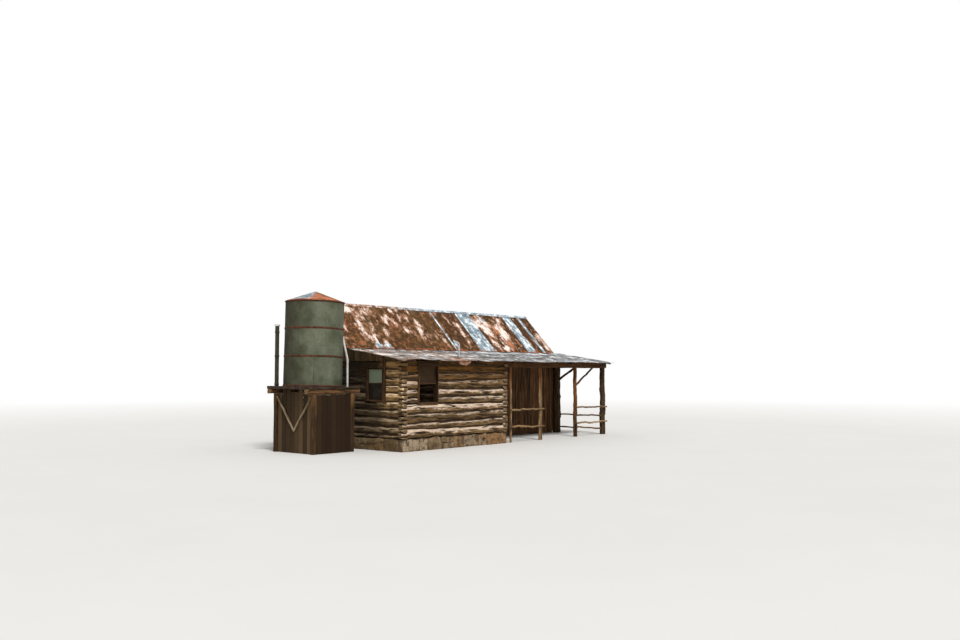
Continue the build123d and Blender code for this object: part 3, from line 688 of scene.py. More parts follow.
def buildBackLogs():
    dice = random.Random(23)
    pile = newPile()
    for index, (low, high) in enumerate(zip(frontLevels[:-1], frontLevels[1:])):
        crossings = [tongue(leftX, low, high), tongue(rightWallX, low, high)]
        if index == 9:
            crossings = [(start, start + wall, low + course / 4, high) for start in (leftX, rightWallX)]
        if index == 10:
            crossings = ()
        ends = (leftX - stub(dice), rightX + stub(dice))
        addLog(pile, "x", ends, backWallY, low, high, dice, crossings, backJoints[index:index + 2])
    top, out = frontLevels[-1], logShape["topOut"]
    plateTop = max(steepUnder(backY) - 0.1, top + 0.09)
    addLog(pile, "x", (leftX - out, rightX + out), backWallY, top, plateTop, dice)
    makePiece("back_wall_hewn_logs", pile, [logWood, logEnds], ("back_wall_logs", "back_wall_plate"))


buildFrontLogs()
buildSideLogs()
buildBackLogs()
print("log walls built")

# Clay packed between the logs, set back from both faces
clayLook = {"dark": (70, 54, 42), "pale": (104, 84, 66), "run": (58, 44, 34), "speck": (46, 34, 26),
            "scale": 5.0, "roughness": 0.95, "relief": 0.6}
clayShape = {"inset": 0.046, "half": 0.034, "clear": 0.01, "ripple": 0.004, "step": 0.1}
clay = mottledFinish("packedClay", clayLook)


def buildChinking():
    dice = random.Random(31)
    pile = newPile()
    inset, half, clear = clayShape["inset"], clayShape["half"], clayShape["clear"]

    def strip(axis, span, face, level, line=still):
        along = 0 if axis == "x" else 1
        start, end = (span[0], face + inset, level - half), (span[1], face + wall - inset, level + half)
        low, high = alongAxis(axis, start, end)
        addBlock(pile, low, high, dice.random(), along, clayShape["ripple"],
                 max(2, round((span[1] - span[0]) / clayShape["step"])),
                 lambda px, py, pz: (px, py, pz + line((px, py)[along])))

    for index, level in enumerate(frontLevels[1:9], 1):
        if index < 4:
            strip("x", (leftX + wall, roomWallX), frontY, level, frontJoints[index])
        elif index > 4:
            strip("x", (leftX + wall, windowX[0] - clear), frontY, level, frontJoints[index])
            strip("x", (windowX[1] + clear, roomWallX), frontY, level, frontJoints[index])
    strip("x", (leftX + wall, windowX[0]), frontY, frontLevels[4] - 0.01)
    strip("x", (windowX[1], roomWallX), frontY, frontLevels[4] - 0.01)
    strip("x", (leftX + wall, roomWallX), frontY, wallTop + 0.02)
    for index, level in enumerate(sideLevels[1:-1], 1):
        if 5 <= index <= 9:
            strip("y", (frontY + wall, sideWindowY[0] - clear), leftX, level, leftJoints[index])
            strip("y", (sideWindowY[1] + clear, backWallY), leftX, level, leftJoints[index])
        else:
            strip("y", (frontY + wall, backWallY), leftX, level, leftJoints[index])
        strip("y", (frontY + wall, junctionY - 0.004), roomWallX, level, roomJoints[index])
        strip("y", (junctionY + 0.004, backWallY), rightWallX, level, rightJoints[index])
    for index, level in enumerate(frontLevels[1:], 1):
        strip("x", (leftX + wall, rightWallX), backWallY, level, backJoints[index])
    makePiece("clay_between_logs", pile, [clay])


buildChinking()

# Footing stones, laid dry in one or two courses with earth mortar behind
stoneLook = {
    "frontPale": (172, 152, 128), "pale": (138, 116, 88), "dark": (82, 66, 46),
    "lichen": (109, 97, 66), "orange": (158, 113, 72), "joint": (61, 46, 30), "shade": (88, 69, 43),
}
earthLook = {"dark": (78, 62, 48), "pale": (112, 94, 74), "run": (64, 50, 38), "speck": (50, 38, 28),
             "scale": 6.0, "roughness": 0.95, "relief": 0.6}
# seeds near 1 make pale stones and seeds near 0 tan ones; the front run starts with a big pale block
stoneShape = {"widths": (0.34, 0.80), "firstWidths": (0.66, 0.30, 0.52), "narrowest": 0.18, "joint": 0.001,
              "proud": 0.012, "rough": 0.036, "oneCourse": 0.66, "split": (0.38, 0.62), "cornerSeed": 0.95,
              "tanSeed": 0.06, "tanRun": 1.1, "earthIn": 0.022, "earthDown": 0.012}


def stoneFinish():
    material, tree, shader = newFinish("fieldStone", 0.92)
    place, seed = objectPlace(tree), named(tree, "seed")
    soft = cloud(tree, place, 4.0, 6.0, 0.65)
    fine = cloud(tree, place, 30.0, 5.0, 0.7)
    layer = cloud(tree, place, 1.0, 4.0, 0.6, (3, 3, 16))
    blotch = cloud(tree, place, 8.0, 5.0, 0.7)
    tone = layered(tree, stoneLook["dark"], stoneLook["pale"], soft, 0.35, 0.62)
    aside = plus(tree, partsOf(tree, place)[0], times(tree, soft, 0.04))
    for colour, share in (("frontPale", spread(tree, seed, 0.55, 1.0, 0.0, 0.8)),
                          ("orange", spread(tree, seed, 0.25, 0.0, 0.0, 0.7)),
                          ("lichen", spread(tree, layer, 0.52, 0.66, 0.0, 0.5)),
                          ("joint", spread(tree, blotch, 0.5, 0.37, 0.0, 0.9)),
                          ("joint", spread(tree, fine, 0.5, 0.34, 0.0, 0.5)),
                          ("shade", spread(tree, aside, leftX + 0.06, leftX, 0.0, 0.8))):
        tone = blendPaint(tree, share, tone, stoneLook[colour])
    tree.links.new(tone, shader.inputs["Base Color"])
    raiseSurface(tree, shader, plus(tree, fine, layer), 0.5, 0.012)
    return material


stone, jointEarth = stoneFinish(), mottledFinish("jointEarth", earthLook)


def roundedCube():
    work = bmesh.new()
    bmesh.ops.create_cube(work, size=2)
    bmesh.ops.subdivide_edges(work, edges=work.edges, cuts=3, use_grid_fill=True)
    work.verts.ensure_lookup_table()
    corners = [vertex.co / sum(abs(value) ** 9 for value in vertex.co) ** (1 / 9) for vertex in work.verts]
    faces = [tuple(vertex.index for vertex in face.verts) for face in work.faces]
    work.free()
    return corners, faces


cubeCorners, cubeFaces = roundedCube()


def addStone(pile, low, high, seed, rough):
    low, high = Vector(low), Vector(high)
    middle, half = (low + high) / 2, (high - low) / 2
    points, grain = [], []
    for corner in cubeCorners:
        point = middle + Vector((corner.x * half.x, corner.y * half.y, corner.z * half.z))
        point += noise.noise_vector(point * 4.0 + Vector((seed * 71, 0, 0))) * rough
        point += noise.noise_vector(point * 11.0 + Vector((0, seed * 71, 0))) * rough * 0.4
        point.z = max(point.z, 0.0)
        points.append(point)
        grain.append(tuple(corner))
    addSolid(pile, points, cubeFaces, seed, grain, [0.0] * len(points))


def buildFootings():
    dice = random.Random(41)
    stones, earth = newPile(), newPile()
    joint, proud = stoneShape["joint"], stoneShape["proud"]
    runs = [("x", leftX, roomRightX, frontY), ("x", leftX, rightX, backWallY),
            ("y", frontY + wall, backWallY, leftX), ("y", frontY + wall, junctionY, roomWallX),
            ("y", junctionY, backWallY, rightWallX)]
    firstWidths = list(stoneShape["firstWidths"])
    for axis, start, end, face in runs:
        place = start
        while place < end - 0.05:
            width = firstWidths.pop(0) if firstWidths else dice.uniform(*stoneShape["widths"])
            width = min(width, end - place)
            width = end - place if end - place - width < stoneShape["narrowest"] else width
            whole = place == start or dice.random() < stoneShape["oneCourse"]
            split = baseTop if whole else baseTop * dice.uniform(*stoneShape["split"])
            for bottom, top in ((0.0, split), (split, baseTop)):
                if top - bottom < 0.02:
                    continue
                out = proud * dice.uniform(-0.6, 1.0)
                low = (place + joint / 2, face - out, bottom + joint / 2 * (bottom > 0))
                high = (place + width - joint / 2, face + wall + out, top - joint / 2)
                cornerBlock = face == frontY and place == start
                seed = stoneShape["cornerSeed"] if cornerBlock else dice.random()
                if face == frontY and place > roomRightX - stoneShape["tanRun"]:
                    seed = stoneShape["tanSeed"]
                addStone(stones, *alongAxis(axis, low, high), seed, stoneShape["rough"])
            place += width
        inward = stoneShape["earthIn"]
        low = (start, face + inward, 0.0)
        high = (end, face + wall - inward, baseTop - stoneShape["earthDown"])
        addBlock(earth, *alongAxis(axis, low, high), dice.random(), 0 if axis == "x" else 1, 0.002)
    makePiece("footing_stones", stones, [stone], ("long_footings", "cross_footings"), 60)
    makePiece("footing_earth", earth, [jointEarth])


buildFootings()
print("footings built")

# Corrugated iron, made flat sheet by sheet and then given its waves by a node tree
ironShape = {"pitch": 0.076, "depth": 0.014, "thickness": 0.0016, "samples": 8, "up": 18, "lapLift": 0.0012,
             "overlap": 0.05, "ragged": 0.007, "lowRagged": 0.012}


def corrugationTree():
    sockets = [("Pitch", "Float", 0.076), ("Depth", "Float", 0.014), ("Outward", "Vector", (0, 0, 1)),
               ("Finish", "Material", None)]
    tree, given = newTree("corrugation", sockets)
    across = partsOf(tree, fromNode(tree, "GeometryNodeInputPosition"))[0]
    wave = doMath(tree, "SINE", doMath(tree, "DIVIDE", times(tree, across, math.tau), given["Pitch"]))
    push = times(tree, wave, times(tree, given["Depth"], 0.5))
    offset = fromNode(tree, "ShaderNodeVectorMath", {0: given["Outward"], "Scale": push}, operation="SCALE")
    moved = fromNode(tree, "GeometryNodeSetPosition", {"Geometry": given["Geometry"], "Offset": offset})
    endTree(tree, moved, given["Finish"])
    return tree


corrugation = corrugationTree()


def softSpots(spots):
    # (x, share up the slope, half width, half length, strength, lean); lean, where given, moves the spot
    # across as it goes up, and a strength below zero keeps a place free of the mark
    def strength(x, share):
        raised, lowered = 0.0, 0.0
        for spotX, spotShare, halfWide, halfLong, high, *given in spots:
            up, lean = share - spotShare, given[0] if given else 0
            across = (x - spotX - lean * up) / halfWide
            value = high * math.exp(-(across ** 2 + (up / halfLong) ** 2) * 1.2)
            raised, lowered = max(raised, value), min(lowered, value)
        return raised + lowered
    return strength


def flatSheets(name, edges, place, outward, spotLists, ragged):
    # place(x, share) gives a point on the roof's middle surface; edges are (left edge, zinc) for each sheet
    sunlitAndWorn, glow, coated = (softSpots(spots) for spots in spotLists)
    dice = random.Random(name)
    points, faces = [], []
    values = {"zinc": [], "sunlitAndWorn": [], "glow": [], "seed": [], "low": []}
    step, rows = ironShape["pitch"] / ironShape["samples"], ironShape["up"] + 1
    for index, ((start, zinc), (end, _)) in enumerate(zip(edges[:-1], edges[1:])):
        first = len(points)
        start, end = leftX + start - (ironShape["overlap"] if index else 0), leftX + end
        columns = max(2, round((end - start) / step))
        seed = dice.random()
        lift = ironShape["lapLift"] * (1 if index % 2 else -1)
        droop = wander(dice, ragged, (0.9, 0.4, 0.21))
        for column in range(columns + 1):
            x = start + (end - start) * column / columns
            for row in range(rows):
                share = row / ironShape["up"]
                point = Vector(place(x, share)) + outward * (lift + droop(x + share * 2.1) * 0.25)
                if row == 0:  # the lower edge is ragged
                    point = Vector(place(x, share + droop(x) * 0.5)) + outward * lift
                points.append(point)
                where = (x - leftX, share)
                marks = (max(zinc, coated(*where)), sunlitAndWorn(*where), glow(*where), seed, share)
                for label, mark in zip(values, marks):
                    values[label].append(mark)
        faces += gridFaces(columns + 1, rows, first=first)
    mesh = bpy.data.meshes.new(name)
    mesh.from_pydata(points, [], faces)
    for label, marks in values.items():
        mesh.attributes.new(label, "FLOAT", "POINT").data.foreach_set("value", marks)
    return mesh


def layIron(name, mesh, outward, finish, slot, replaced):
    values = {"Pitch": ironShape["pitch"], "Depth": ironShape["depth"], "Outward": outward, "Finish": finish}
    thickness = ironShape["thickness"]
    growPiece(name, mesh, corrugation, values, slot, (replaced,), thickness=thickness, sharpAngle=75)


steepLook = {
    "rust": (110, 74, 45), "rustDark": (62, 41, 24), "rustBright": (160, 107, 71), "olive": (84, 69, 40),
    "blush": (180, 138, 112), "pale": (240, 224, 214), "glow": (196, 122, 84), "edge": (178, 104, 66),
    "zinc": (146, 162, 170), "zincDark": (96, 112, 120), "zincPale": (232, 238, 242), "edgeShare": 0.85,
    "streak": (9, 1.5, 1.5), "patchScale": 7.0, "coatScale": 0.6, "raggedness": 1.3, "crisp": 0.12,
    "dapple": 0.035, "dapples": (4.5, 2.6, 2.6), "dappled": 3.8,
}
lowLook = {
    "rust": (128, 102, 82), "rustDark": (70, 52, 38), "rustBright": (156, 112, 84), "olive": (98, 84, 66),
    "blush": (196, 174, 160), "pale": (248, 240, 233), "glow": (172, 114, 82), "edge": (160, 118, 92),
    "zinc": (152, 156, 158), "zincDark": (80, 80, 78), "zincPale": (246, 247, 248), "edgeShare": 0.4,
    "streak": (4.5, 3.2, 3.2), "patchScale": 4.2, "coatScale": 0.75, "raggedness": 2.2, "crisp": 0.10,
    "dapple": -0.005, "dapples": (2.6, 3.4, 3.4), "dappled": 2.6,
    "laps": (0.36, 0.72), "lapDrift": 0.5, "lapShare": 0.75,
}
# sheet edges from the left end of the house, with how much zinc each sheet keeps
steepSheets = [
    (-0.30, 0.02), (0.42, 0.0), (1.14, 0.04), (1.86, 0.0), (2.58, 0.0), (3.34, -0.2), (4.21, 0.88),
    (4.33, -0.12), (4.90, -0.10), (5.46, 0.98), (6.08, 0.10), (6.62, 0.10), (7.30, 0.06), (7.88, 0.98),
    (8.30, -0.2), (8.74, 0.85), (8.84, 0.06), (9.30, None),
]
lowSheets = [
    (-0.30, 0.42), (0.42, 0.50), (1.14, 0.50), (1.90, 0.40), (2.62, 0.52), (3.38, 0.56), (4.14, 0.66),
    (4.90, 0.80), (5.66, 0.88), (6.42, 0.82), (7.18, 0.94), (7.94, 0.86), (8.70, 0.94), (9.30, 0.96),
    (9.75, None),
]
# pale places that the photograph shows on the slopes, worn rust with painted sunflecks on it, then orange
# ones, then zinc left on the rusty sheets
steepSpots = [
    (0.72, 0.88, 0.34, 0.13, 0.95, 0.4), (1.33, 0.86, 0.26, 0.13, 0.8, 0.3),
    (0.80, 0.58, 0.10, 0.15, 1.0), (0.78, 0.42, 0.12, 0.22, 0.95),
    (0.84, 0.24, 0.16, 0.18, 0.75), (1.14, 0.38, 0.16, 0.16, 0.4), (1.04, 0.17, 0.10, 0.12, 1.1),
    (0.98, 0.06, 0.22, 0.09, 1.2), (1.36, 0.13, 0.10, 0.10, 1.1), (1.34, 0.04, 0.20, 0.08, 1.2),
    (0.14, 0.44, 0.10, 0.16, 0.9), (0.20, 0.62, 0.10, 0.12, 0.5), (2.40, 0.94, 0.10, 0.10, 0.8),
    (2.77, 0.88, 0.12, 0.14, 0.7, 0.2), (1.92, 0.70, 0.14, 0.12, 0.65),
    (2.24, 0.62, 0.12, 0.12, 0.4), (2.60, 0.70, 0.09, 0.10, 0.7), (2.90, 0.70, 0.09, 0.10, 0.7),
    (2.54, 0.46, 0.13, 0.10, 0.75), (3.24, 0.66, 0.12, 0.12, 0.9), (3.16, 0.48, 0.12, 0.15, 1.0),
    (1.62, 0.30, 0.10, 0.20, 0.5), (3.84, 0.50, 0.10, 0.14, 0.6), (3.15, 0.22, 0.14, 0.09, 0.6),
    (3.97, 0.26, 0.10, 0.14, 0.65), (4.80, 0.78, 0.08, 0.16, 0.7), (5.12, 0.68, 0.14, 0.12, 0.7),
    (5.10, 0.38, 0.13, 0.13, 0.85), (5.06, 0.20, 0.12, 0.12, 0.7), (4.98, 0.08, 0.14, 0.08, 0.5),
    (6.24, 0.74, 0.20, 0.18, 1.0), (6.46, 0.58, 0.20, 0.18, 1.1), (6.40, 0.22, 0.18, 0.16, 0.8),
    (6.82, 0.10, 0.22, 0.13, 1.1), (7.28, 0.62, 0.26, 0.20, 1.2), (7.24, 0.44, 0.26, 0.18, 1.2),
    (7.44, 0.90, 0.20, 0.10, 0.8), (6.50, 0.88, 0.24, 0.10, 0.8), (6.62, 0.40, 0.14, 0.18, 0.8),
    (6.66, 0.74, 0.18, 0.14, 0.9), (9.28, 0.50, 0.035, 0.9, 0.8), (9.14, 0.34, 0.16, 0.22, 0.85),
    (9.12, 0.12, 0.18, 0.12, 0.8), (9.28, 0.74, 0.10, 0.16, 0.7), (7.70, 0.24, 0.10, 0.16, 0.4),
    (2.35, 0.20, 0.75, 0.22, -0.55), (3.72, 0.72, 0.36, 0.24, -0.45),
    (3.60, 0.18, 0.40, 0.16, -0.4), (0.40, 0.22, 0.28, 0.20, -0.5),
    (0.46, 0.56, 0.22, 0.14, -0.4), (4.55, 0.40, 0.28, 0.50, -0.45),
    (5.32, 0.55, 0.14, 0.50, -0.4), (7.66, 0.50, 0.16, 0.34, -0.45),
    (8.51, 0.50, 0.16, 0.50, -0.5), (1.60, 0.08, 0.16, 0.10, -0.4),
    (2.10, 0.88, 0.22, 0.10, -0.3), (6.20, 0.40, 0.14, 0.16, -0.4),
]
steepGlows = [
    (6.96, 0.58, 0.20, 0.20, 0.75), (7.16, 0.22, 0.20, 0.22, 0.8),
    (6.40, 0.30, 0.20, 0.14, 0.55), (0.20, 0.58, 0.20, 0.16, 0.5), (0.50, 0.10, 0.5, 0.10, 0.45),
    (2.20, 0.60, 0.24, 0.2, 0.4), (5.1, 0.3, 0.14, 0.3, 0.3), (7.64, 0.24, 0.16, 0.2, 0.4),
]
steepCoats = [
    (0.99, 0.07, 0.17, 0.10, 0.95), (1.36, 0.06, 0.16, 0.10, 0.95),
    (4.40, 0.16, 0.10, 0.16, 0.85, 0.2), (6.62, 0.84, 0.24, 0.12, 0.62),
    (5.02, 0.90, 0.12, 0.10, 0.4),
]
# pale places on the low roof: worn rust and painted sunflecks
lowSpots = [
    (0.1, 0.5, 0.6, 0.5, 0.9), (1.0, 0.4, 0.7, 0.5, 0.95), (1.9, 0.5, 0.6, 0.4, 0.85),
    (3.0, 0.4, 0.7, 0.5, 0.8), (4.2, 0.5, 0.6, 0.5, 0.5),
]
lowGlows = [
    (2.0, 0.10, 0.4, 0.22, 0.95), (1.95, 0.80, 0.3, 0.12, 0.8), (0.7, 0.8, 0.5, 0.14, 0.8),
    (4.3, 0.10, 0.5, 0.10, 0.7),
]


def buildSteepRoof():
    iron = ironFinish("rustedRoofIron", {**steepLook, "dimFrom": leftX + 4.3})
    rise = Vector((0, -steepSlope, 1)).normalized()
    backRise = Vector((0, -rise.y, rise.z))
    middle = (steepHigh.z - steepUnder(steepHigh.y)) / 2

    def front(x, share):
        y = steepLow.y + (steepHigh.y - steepLow.y) * share
        return x, y, steepUnder(y) + middle

    def back(x, share):
        y = backHigh.y - (backHigh.y - backLow.y) * share
        return x, y, steepUnder(y) + middle

    spotLists, ragged = (steepSpots, steepGlows, steepCoats), ironShape["ragged"]
    mesh = flatSheets("steepFront", steepSheets, front, rise, spotLists, ragged)
    layIron("steep_roof_front_iron", mesh, rise, iron, "rusty_iron", "steep_roof_front_sheets")
    dice = random.Random(3)
    backSpots = [(dice.uniform(-0.2, 9.2), dice.uniform(0.05, 0.95), dice.uniform(0.07, 0.2),
                  dice.uniform(0.1, 0.3), dice.uniform(0.4, 0.8), 0.2) for spot in range(20)]
    backSheets = [(-0.30 + 0.72 * step, dice.choice((0.0, 0.1, 0.1, 0.3, 0.9))) for step in range(13)]
    spotLists = (backSpots, steepGlows, [])
    mesh = flatSheets("steepBack", backSheets + [(9.30, None)], back, backRise, spotLists, ragged)
    layIron("steep_roof_back_iron", mesh, backRise, iron, "rusty_iron", "steep_roof_back_sheets")


def eaveWave(x):  # how the tired eave of the low roof rises and falls, most at its left end
    along = x - leftX
    left = max(0.0, 1 - (along + 0.3) / 4.6)
    waves = ((0.022 * left, 3.1, 0.4), (0.012 * left, 7.3, 0.0), (0.007, 1.9, 0.0))
    return sum(high * math.sin(along * turn + start) for high, turn, start in waves)


def buildLowRoof():
    iron = ironFinish("wornLowRoofIron", lowLook)
    rise = Vector((0, -lowSlope, 1)).normalized()
    middle = (lowHigh.z - lowUnder(lowHigh.y)) / 2

    def place(x, share):
        y = lowLow.y + (lowHigh.y - lowLow.y) * share
        bend = eaveWave(x) * max(0.0, 1 - share / 0.22)
        return x, y, lowUnder(y) + middle + bend

    mesh = flatSheets("lowRoof", lowSheets, place, rise, (lowSpots, lowGlows, []), ironShape["lowRagged"])
    layIron("low_roof_iron", mesh, rise, iron, "grey_iron", "low_roof_sheets")


# A strip of rusted flashing that hangs under the low eave, right of the window
flapLook = {"dark": (104, 70, 50), "pale": (168, 130, 110), "run": (122, 84, 62), "speck": (66, 46, 34),
            "scale": 9.0, "roughness": 0.9}
flapShape = {"from": 1.86, "long": 0.52, "drop": 0.045, "sag": 0.085, "ragged": 0.022, "columns": 22,
             "rows": 5}


def buildTornFlap():
    points, columns, rows = [], flapShape["columns"], flapShape["rows"]
    for column in range(columns):
        share = column / (columns - 1)
        x = leftX + flapShape["from"] + flapShape["long"] * share
        torn = flapShape["ragged"] * noise.noise(Vector((x * 13, 0, 3)))
        drop = flapShape["drop"] + flapShape["sag"] * math.sin(math.pi * share) + torn
        top = lowUnder(lowLow.y) + eaveWave(x) + 0.004
        for row in range(rows):
            down = row / (rows - 1)
            points.append((x, lowLow.y + 0.02 - 0.012 * math.sin(down * 2.6 + x * 9), top - drop * down))
    rusted = mottledFinish("tornFlashing", flapLook)
    plainSheet("torn_eave_flashing", points, gridFaces(columns, rows), rusted, "rusty_iron")


buildSteepRoof()
buildLowRoof()
buildTornFlap()
print("roof iron built")

# Ridge capping: short lengths of folded sheet, each lapped over the next, with a small roll along the top
ridgeLook = dict(steepLook, rust=(150, 122, 104), rustDark=(104, 84, 70), rustBright=(176, 132, 106),
                 zinc=(158, 170, 178), zincDark=(112, 124, 132), zincPale=(222, 230, 236))
# folds are distances from the middle; the zinc is bare of rust from the second place along the ridge
ridgeShape = {"folds": (0.048, 0.036, 0.022, 0.014, 0.006), "roll": 0.016, "rollHalf": 0.022, "length": 1.75,
              "lap": 0.09, "lapLift": 0.002, "ragged": 0.006, "thickness": 0.0018, "zinc": (0.5, 5.5),
              "sunlitAndWorn": 0.45}


def buildRidge():
    capping = ironFinish("ridgeCappingIron", ridgeLook)
    capLow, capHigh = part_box("ridge_cap")
    ridgeY = (capLow.y + capHigh.y) / 2
    top = steepHigh.z + 0.004
    dice = random.Random(9)
    across = [-fold for fold in ridgeShape["folds"]] + [0.0] + list(reversed(ridgeShape["folds"]))
    points, faces = [], []
    start, index = capLow.x + 0.005, 0
    while start < capHigh.x - 0.1:
        end = min(start + ridgeShape["length"], capHigh.x - 0.005)
        first, columns = len(points), max(4, round((end - start) / 0.09))
        edge = wander(dice, ridgeShape["ragged"], (0.7, 0.31, 0.17))
        for column in range(columns + 1):
            x = start + (end - start) * column / columns
            for place in across:
                reach = place + (math.copysign(edge(x), place) if abs(place) > 0.04 else 0)
                roll = ridgeShape["roll"] * max(0.0, 1 - (abs(place) / ridgeShape["rollHalf"]) ** 2)
                z = top - abs(reach) * steepSlope + roll + (ridgeShape["lapLift"] if index % 2 else 0)
                if abs(place) > 0.03:
                    z += 0.002 * math.sin(x * 23)
                points.append((x, ridgeY + reach, z))
        faces += gridFaces(columns + 1, len(across), first=first)
        start, index = end - ridgeShape["lap"], index + 1
        if end > capHigh.x - 0.01:
            break
    bare, coated = ridgeShape["zinc"]
    values = {"zinc": [min(0.95, max(0.1, (point[0] - leftX - bare) / (coated - bare))) for point in points]}
    for label, value in (("sunlitAndWorn", ridgeShape["sunlitAndWorn"]), ("glow", 0.0), ("seed", 0.4), ("low", 1.0)):
        values[label] = [value] * len(points)
    thickness = ridgeShape["thickness"]
    plainSheet("ridge_capping", points, faces, capping, "grey_iron", ("ridge_cap",), thickness, values)


# Nail and rivet heads, one tree for all of them
def headTree():
    sockets = [("Radius", "Float", 0.01), ("Height", "Float", 0.006), ("Finish", "Material", None)]
    tree, given = newTree("heads", sockets)
    cone = {"Vertices": 8, "Side Segments": 2, "Radius Top": times(tree, given["Radius"], 0.35),
            "Radius Bottom": given["Radius"], "Depth": given["Height"]}
    head = fromNode(tree, "GeometryNodeMeshCone", cone)
    outward = fromNode(tree, "GeometryNodeInputNamedAttribute", {"Name": "outward"}, data_type="FLOAT_VECTOR")
    turn = fromNode(tree, "FunctionNodeAlignRotationToVector", {"Vector": outward}, axis="Z")
    wires = {"Points": given["Geometry"], "Instance": head, "Rotation": turn}
    endTree(tree, fromNode(tree, "GeometryNodeInstanceOnPoints", wires), given["Finish"])
    return tree


heads = headTree()
nailLook = {"dark": (92, 74, 62), "pale": (150, 138, 128), "run": (112, 72, 52), "speck": (60, 44, 36),
            "roughness": 0.6, "metallic": 0.3, "scale": 20}
# every counts waves; lines are shares of the way up the roof, and lifts the crest's height over the underside
nailShape = {"radius": 0.011, "height": 0.008, "every": 4, "lines": (0.06, 0.5, 0.93),
             "lifts": (0.018, 0.0245)}


def scatterHeads(name, places, radius, height, finish, slot, matrix=None):
    mesh = bpy.data.meshes.new(name)
    mesh.from_pydata([place for place, outward in places], [], [])
    flat = [value for place, outward in places for value in outward]
    mesh.attributes.new("outward", "FLOAT_VECTOR", "POINT").data.foreach_set("vector", flat)
    values = {"Radius": radius, "Height": height, "Finish": finish}
    growPiece(name, mesh, heads, values, slot, matrix=matrix)


def buildRoofNails():
    places = []
    pitch, (lowLift, steepLift) = ironShape["pitch"], nailShape["lifts"]
    for low, high, eaveY, topY, under, slope, lift in (
            (lowLow, lowHigh, lowLow.y, lowHigh.y, lowUnder, -lowSlope, lowLift),
            (steepLow, steepHigh, steepLow.y, steepHigh.y, steepUnder, -steepSlope, steepLift),
            (backLow, backHigh, backHigh.y, backLow.y, steepUnder, steepSlope, steepLift)):
        outward = Vector((0, slope, 1)).normalized()
        crest = math.ceil(low.x / pitch) * pitch + pitch / 4
        while crest < high.x - 0.03:
            for share in nailShape["lines"]:
                y = eaveY + (topY - eaveY) * share
                places.append((Vector((crest, y, under(y) + lift)), outward))
            crest += pitch * nailShape["every"]
    nailMetal = mottledFinish("nailHeadMetal", nailLook)
    scatterHeads("roof_nail_heads", places, nailShape["radius"], nailShape["height"], nailMetal, "grey_iron")


buildRidge()
buildRoofNails()
print("ridge and nails built")


# Rows of rough boards from one tree
def boardTree():
    sockets = [("Count", "Int", 8), ("Width", "Float", 0.15), ("Gap", "Float", 0.008),
               ("Length", "Float", 2.0), ("Thickness", "Float", 0.022), ("Short", "Float", 0.0),
               ("Lean", "Float", 0.006), ("Seed", "Int", 1), ("Finish", "Material", None)]
    tree, given = newTree("boardRow", sockets)
    step = vectorOf(tree, {0: plus(tree, given["Width"], given["Gap"])})
    line = fromNode(tree, "GeometryNodeMeshLine", {"Count": given["Count"], "Offset": step}, mode="OFFSET")
    size = vectorOf(tree, {0: given["Width"], 1: given["Thickness"], 2: given["Length"]})
    wires = {"Size": size, "Vertices X": 2, "Vertices Y": 2, "Vertices Z": 12}
    raised = vectorOf(tree, {2: times(tree, given["Length"], 0.5)})
    plank = fromNode(tree, "GeometryNodeMeshCube", wires)
    plank = fromNode(tree, "GeometryNodeTransform", {"Geometry": plank, "Translation": raised})

    def chance(low, high, salt):
        wires = {"Seed": plus(tree, given["Seed"], float(salt)), 2: low, 3: high}
        return fromNode(tree, "FunctionNodeRandomValue", wires, 1, data_type="FLOAT")

    shortest = minus(tree, 1.0, given["Short"])
    scale = vectorOf(tree, {0: chance(0.88, 1.03, 1), 1: chance(0.75, 1.0, 2), 2: chance(shortest, 1.0, 3)})
    lean = chance(times(tree, given["Lean"], -1.0), given["Lean"], 4)
    turn = vectorOf(tree, {1: lean, 2: chance(-0.02, 0.02, 5)})
    wires = {"Points": line, "Instance": plank, "Rotation": turn, "Scale": scale}
    row = fromNode(tree, "GeometryNodeInstanceOnPoints", wires)
    wires = {"Geometry": row, "Name": "seed", "Value": chance(0.0, 1.0, 7)}
    row = fromNode(tree, "GeometryNodeStoreNamedAttribute", wires, data_type="FLOAT", domain="INSTANCE")
    row = fromNode(tree, "GeometryNodeRealizeInstances", {"Geometry": row})
    warp = fromNode(tree, "ShaderNodeTexNoise", {"Scale": 4.0, "Detail": 2.0}, "Color")
    warp = vectorMath(tree, "SUBTRACT", warp, (0.5, 0.5, 0.5))
    warp = vectorMath(tree, "MULTIPLY", warp, (0.016, 0.008, 0.0))
    row = fromNode(tree, "GeometryNodeSetPosition", {"Geometry": row, "Offset": warp})
    endTree(tree, row, given["Finish"])
    return tree


boards = boardTree()
darkBoardLook = {"dark": (62, 42, 26), "pale": (112, 78, 48), "stain": (78, 52, 34), "crack": (34, 22, 12),
                 "along": (13, 13, 0.8), "roughness": 0.9}
greyBoardLook = {"dark": (70, 54, 36), "pale": (124, 99, 68), "stain": (86, 66, 42), "crack": (36, 25, 16),
                 "along": (13, 13, 0.8), "roughness": 0.9}
darkBoards = timberFinish("porchWallBoards", darkBoardLook)
greyBoards = timberFinish("weatheredBoards", greyBoardLook)
floorWood = timberFinish("floorBoardWood", {**darkBoardLook, "along": (0.8, 13, 13), "pale": (112, 90, 68)})
porchBoards = {"width": 0.152, "gap": 0.009, "thickness": 0.024, "lean": 0.004, "short": 0.012}
overDoorBoards = dict(porchBoards, short=0.03)
floorBoards = {"width": 0.16, "gap": 0.004, "thickness": 0.038, "lean": 0.0, "short": 0.0}


def quarterTurn(axis, sign=1):
    return Matrix.Rotation(math.radians(90 * sign), 4, axis)


